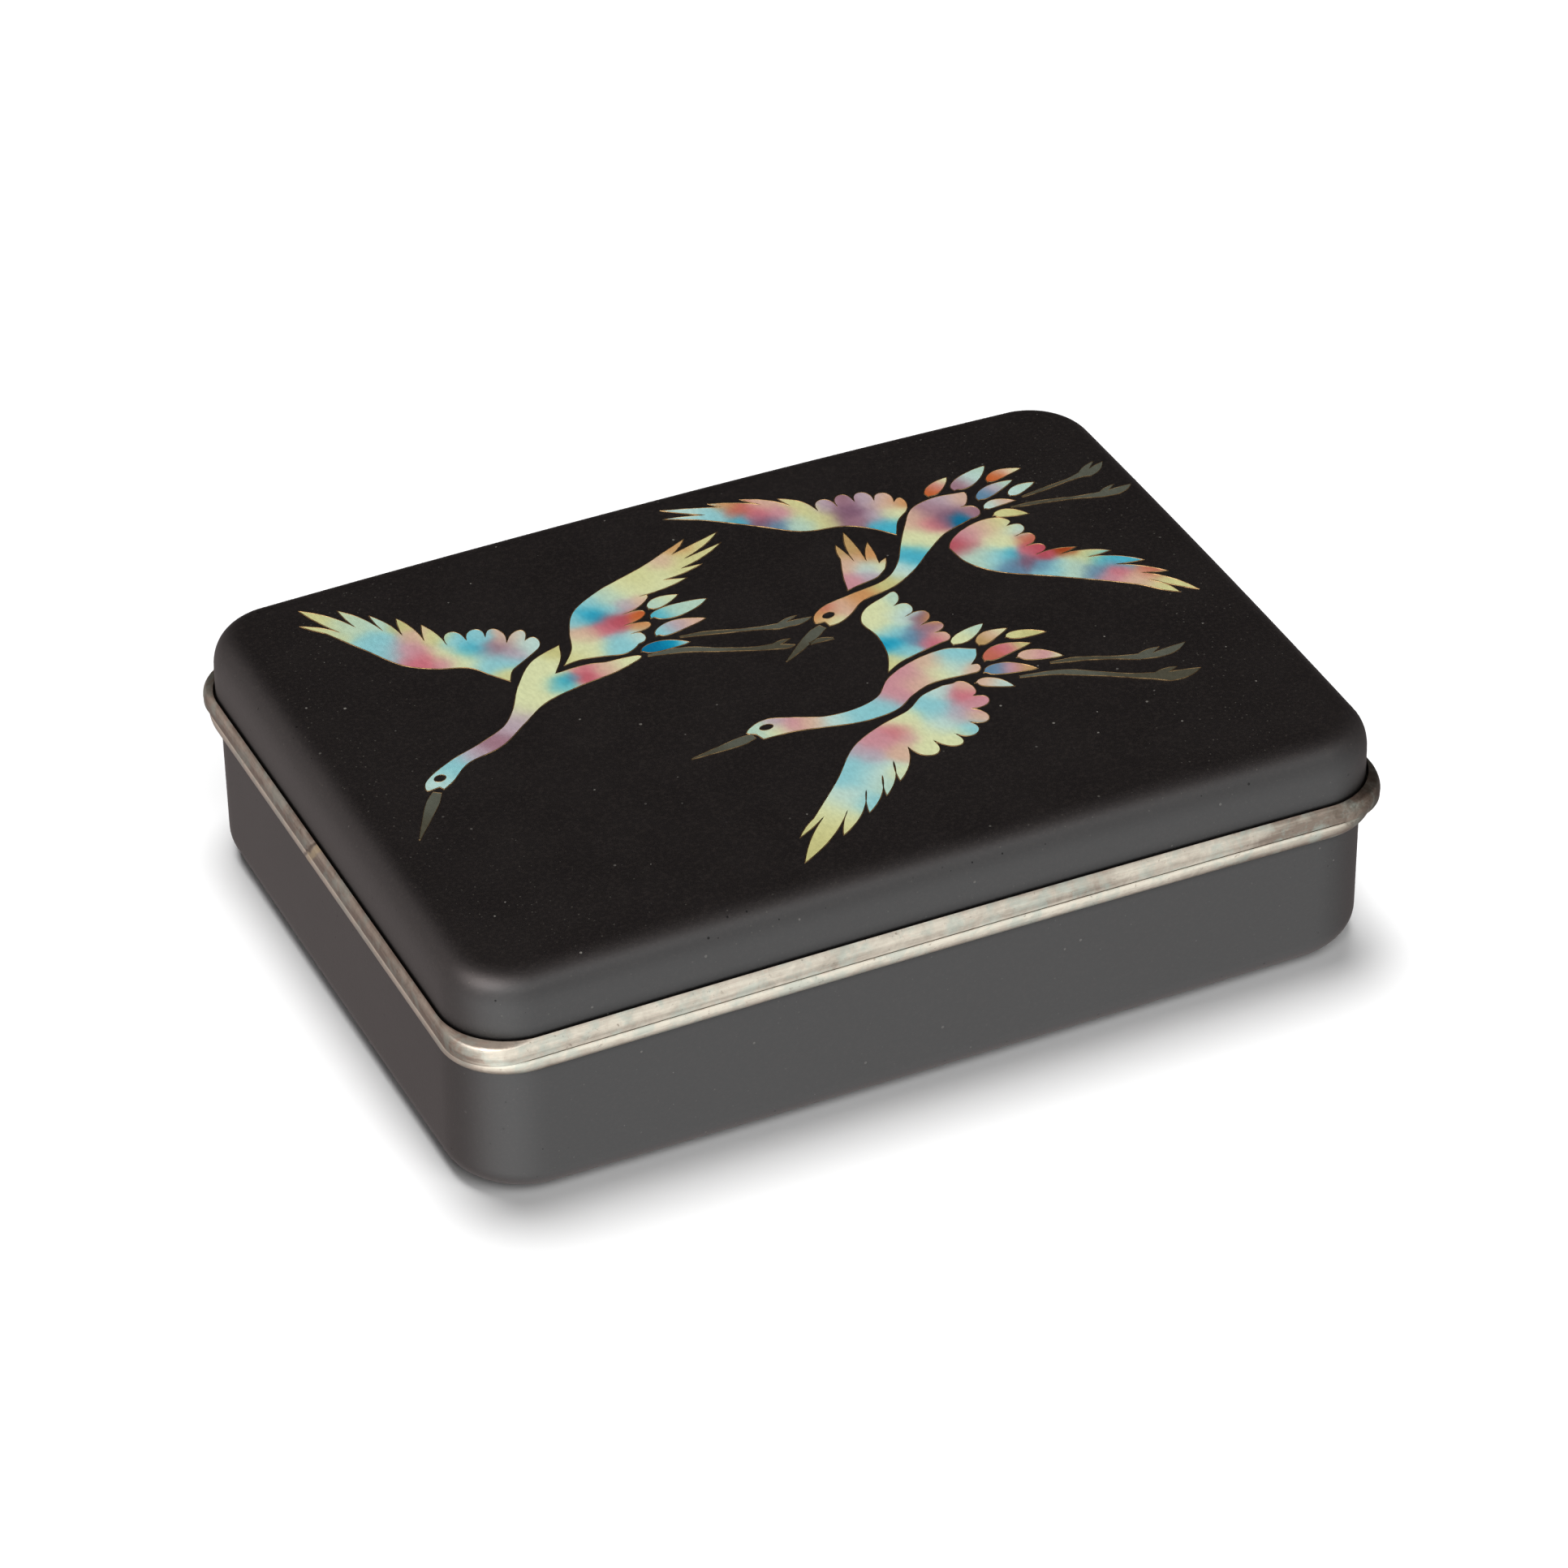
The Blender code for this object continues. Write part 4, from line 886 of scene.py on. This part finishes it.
def slab(bm, layer, ring, tints, proud=PROUD, deep=0.15):
    """One enamel cell: a thin plate that follows the lid, sunk into the black around it."""
    ring = tidy(ring)
    low, high = ring.min(0), ring.max(0)
    step = 0.42
    rows = np.arange(low[1], high[1], step * 0.87)
    grid = np.array([(x + (step / 2 if i % 2 else 0), y) for i, y in enumerate(rows)
                     for x in np.arange(low[0], high[0], step)])
    if len(grid):
        grid = grid[inside(grid, ring)]
    if len(grid):
        gap = np.min(np.linalg.norm(grid[:, None, :] - ring[None, :, :], axis=2), axis=1)
        grid = grid[gap > 0.24]
    verts = [Vector(p) for p in ring] + [Vector(p) for p in grid]
    n = len(ring)
    made = delaunay_2d_cdt(verts, [(i, (i + 1) % n) for i in range(n)], [], 1, 1e-5)
    flat, tris = np.array([tuple(v) for v in made[0]]), made[2]
    colours = blend_tints(flat, tints)
    top = [bm.verts.new((x * MM, y * MM, (lid_height(x, y) + proud) * MM)) for x, y in flat]
    low_v = {}
    edges = {}
    for tri in tris:
        for a, b in zip(tri, list(tri[1:]) + [tri[0]]):
            edges.setdefault(frozenset((a, b)), []).append((a, b))
    for v, c in zip(top, colours):
        v[layer] = (*c, 1.0)

    def under(i):
        if i not in low_v:
            x, y = flat[i]
            low_v[i] = bm.verts.new((x * MM, y * MM, (lid_height(x, y) - deep) * MM))
            low_v[i][layer] = (*colours[i], 1.0)
        return low_v[i]

    for tri in tris:
        bm.faces.new([top[i] for i in tri])
        bm.faces.new([under(i) for i in reversed(tri)])
    for pair in edges.values():
        if len(pair) == 1:
            a, b = pair[0]
            bm.faces.new((top[b], top[a], under(a), under(b)))


def wire(bm, ring, half=WIRE_HALF, proud=PROUD + 0.035, deep=0.15):
    """A wire on edge round one cell: a narrow ribbon with a rubbed, slightly rounded top."""
    ring = tidy(ring, 0.4)
    n = len(ring)
    before, after = ring - np.roll(ring, 1, 0), np.roll(ring, -1, 0) - ring
    before /= np.linalg.norm(before, axis=1)[:, None]
    after /= np.linalg.norm(after, axis=1)[:, None]
    d = before + after
    size = np.linalg.norm(d, axis=1)
    flip = size < 0.35
    d[flip] = np.stack([-before[flip][:, 1], before[flip][:, 0]], 1)
    d /= np.linalg.norm(d, axis=1)[:, None]
    side = np.stack([-d[:, 1], d[:, 0]], 1)
    stretch = np.clip(1.0 / np.maximum(0.45, np.abs((side * np.stack([-before[:, 1], before[:, 0]], 1)).sum(1))), 1, 2.0)
    section = ((-1.0, -deep), (-1.0, proud - 0.03), (-0.55, proud), (0.55, proud), (1.0, proud - 0.03), (1.0, -deep))
    rows = []
    for i in range(n):
        row = []
        for across, up in section:
            x, y = ring[i] + side[i] * across * half * stretch[i]
            row.append(bm.verts.new((x * MM, y * MM, (lid_height(x, y) + up) * MM)))
        rows.append(row)
    m = len(section)
    for i in range(n):
        a, b = rows[i], rows[(i + 1) % n]
        for k in range(m):
            j = (k + 1) % m
            bm.faces.new((a[k], b[k], b[j], a[j]))


def oval(centre, half, tall, tilt, n=20):
    c, s = math.cos(math.radians(tilt)), math.sin(math.radians(tilt))
    ring = []
    for k in range(n):
        u, v = half * math.cos(2 * math.pi * k / n), tall * math.sin(2 * math.pi * k / n)
        ring.append((centre[0] + u * c - v * s, centre[1] + u * s + v * c))
    return ring


def picture(colour_mat, wire_mat, black_mat):
    """One enamel piece and one wire piece for each crane."""
    pieces = []
    for crane in ("crane_left", "crane_right", "crane_front"):
        bm = bmesh.new()
        layer = bm.verts.layers.float_color.new("tint")
        for owner, ring, tints in CELLS:
            if owner == crane:
                slab(bm, layer, ring, tints)
        pieces.append((mesh_piece(crane + "_enamel", bm, colour_mat, 30), "lid_enamel"))
        bm = bmesh.new()
        for owner, ring, tints in CELLS:
            if owner == crane:
                wire(bm, ring, 0.030 if tints[0][3] in ("horn", "shank") else WIRE_HALF)
        for owner, centre, half, tall, tilt in EYES:
            if owner == crane:
                wire(bm, oval(centre, half + 0.04, tall + 0.04, tilt), 0.05)
        pieces.append((mesh_piece(crane + "_wires", bm, wire_mat, 30), "lid_rim_silver"))
        bm = bmesh.new()
        layer = bm.verts.layers.float_color.new("tint")
        for owner, centre, half, tall, tilt in EYES:
            if owner == crane:
                slab(bm, layer, oval(centre, half, tall, tilt), [(centre[0], centre[1], 1.0, "horn")], PROUD + 0.015)
        pieces.append((mesh_piece(crane + "_eye", bm, black_mat, 30), "lid_enamel"))
    return pieces


# ---------------------------------------------------------------- stage
def floor_and_light():
    """White floor, a pale room that is brightest towards the front, and a broad soft light from above."""
    mat = bpy.data.materials.new("floor_white")
    t = Tree(mat)
    t.finish(Base_Color=(0.90, 0.90, 0.90, 1.0), Roughness=1.0, Specular_IOR_Level=0.0)
    bm = bmesh.new()
    bmesh.ops.create_grid(bm, x_segments=8, y_segments=8, size=6.0)
    floor = mesh_piece("floor", bm, mat)
    floor.visible_glossy = False

    world = bpy.data.worlds.new("studio")
    scene.world = world
    t = Tree(world)
    coord = t.add("ShaderNodeTexCoord")
    ray = t.add("ShaderNodeVectorMath", {"operation": "NORMALIZE"})
    t.nt.links.new(coord.outputs["Generated"], ray.inputs[0])
    split = t.add("ShaderNodeSeparateXYZ")
    t.nt.links.new(ray.outputs[0], split.inputs[0])

    def towards(direction):
        dot = t.add("ShaderNodeVectorMath", {"operation": "DOT_PRODUCT"})
        t.nt.links.new(ray.outputs[0], dot.inputs[0])
        dot.inputs[1].default_value = Vector(direction).normalized()
        return dot.outputs["Value"]

    x, y, z = split.outputs["X"], split.outputs["Y"], split.outputs["Z"]
    front = t.math("POWER", t.math("MULTIPLY_ADD", towards((0.04, -0.95, -0.2)), 0.5, 0.5, clamp=True), 1.9)
    ground = t.math("MULTIPLY", t.ramp(z, 0.1, -0.5, 0.0, 0.33), t.ramp(x, 0.35, 0.85, 1.0, 0.15))
    left = t.math("MULTIPLY", t.ramp(x, 0.15, -0.62, 0.0, 0.50), t.ramp(z, -0.75, 0.0))
    card = t.ramp(towards((-0.62, -0.55, -0.56)), 0.72, 1.0, 0.0, 0.62)
    window = t.ramp(towards((-0.604, -0.204, 0.745)), 0.86, 0.985, 0.0, 3.4)
    box = t.math("MULTIPLY", t.ramp(z, 0.42, 0.58), t.ramp(z, 0.98, 0.74))
    box = t.math("MULTIPLY", box, t.math("MULTIPLY", t.ramp(y, 0.05, -0.40), t.ramp(x, 0.60, -0.10, 0.42, 1.05)))
    level = t.math("MULTIPLY_ADD", front, 1.07, 0.012)
    for more in (ground, left, card, window, box):
        level = t.math("ADD", level, more)
    room = t.add("ShaderNodeBackground")
    t.set(room, "Color", t.mix(t.ramp(front, 0.1, 0.7), (1.0, 0.87, 0.85), (1.0, 1.0, 1.0)))
    t.nt.links.new(level, room.inputs["Strength"])
    backdrop = t.add("ShaderNodeBackground")
    backdrop.inputs["Color"].default_value = (1.2, 1.2, 1.2, 1.0)
    seen = t.add("ShaderNodeLightPath")
    either = t.add("ShaderNodeMixShader")
    t.nt.links.new(seen.outputs["Is Camera Ray"], either.inputs[0])
    t.nt.links.new(room.outputs[0], either.inputs[1])
    t.nt.links.new(backdrop.outputs[0], either.inputs[2])
    out = t.add("ShaderNodeOutputWorld")
    t.nt.links.new(either.outputs[0], out.inputs["Surface"])

    world.cycles_visibility.diffuse = False
    for name, direction, energy, spread in (("overhead_soft", (0.0, 0.24, 1.0), 3.15, 33), ("front_fill", (0.0, -0.64, 0.77), 1.45, 50)):
        lamp = bpy.data.lights.new(name, "SUN")
        lamp.energy, lamp.angle = energy, math.radians(spread)
        sun = bpy.data.objects.new(name, lamp)
        sun.rotation_euler = Vector(direction).to_track_quat("Z", "Y").to_euler()
        sun.visible_camera = False
        sun.visible_glossy = False
        scene.collection.objects.link(sun)


# ---------------------------------------------------------------- everything together
place_camera()
enamel = black_enamel("black_enamel")
tray, cover = base_box(enamel), lid(enamel)
low_rim = base_rim(silver("silver_low", 0.12, 0.0))
high_rim = lid_rim(silver("silver_high", 0.60, 20.0))
for piece, node, slot in ((tray, "base_box", "base_enamel"), (cover, "lid", "lid_enamel"),
                          (low_rim, "base_rim", "base_rim_silver"), (high_rim, "lid_rim", "lid_rim_silver")):
    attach(piece, "root")
    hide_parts(node)
for piece, slot in picture(tint_enamel(), wire_metal(), enamel):
    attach(piece, "root")
floor_and_light()
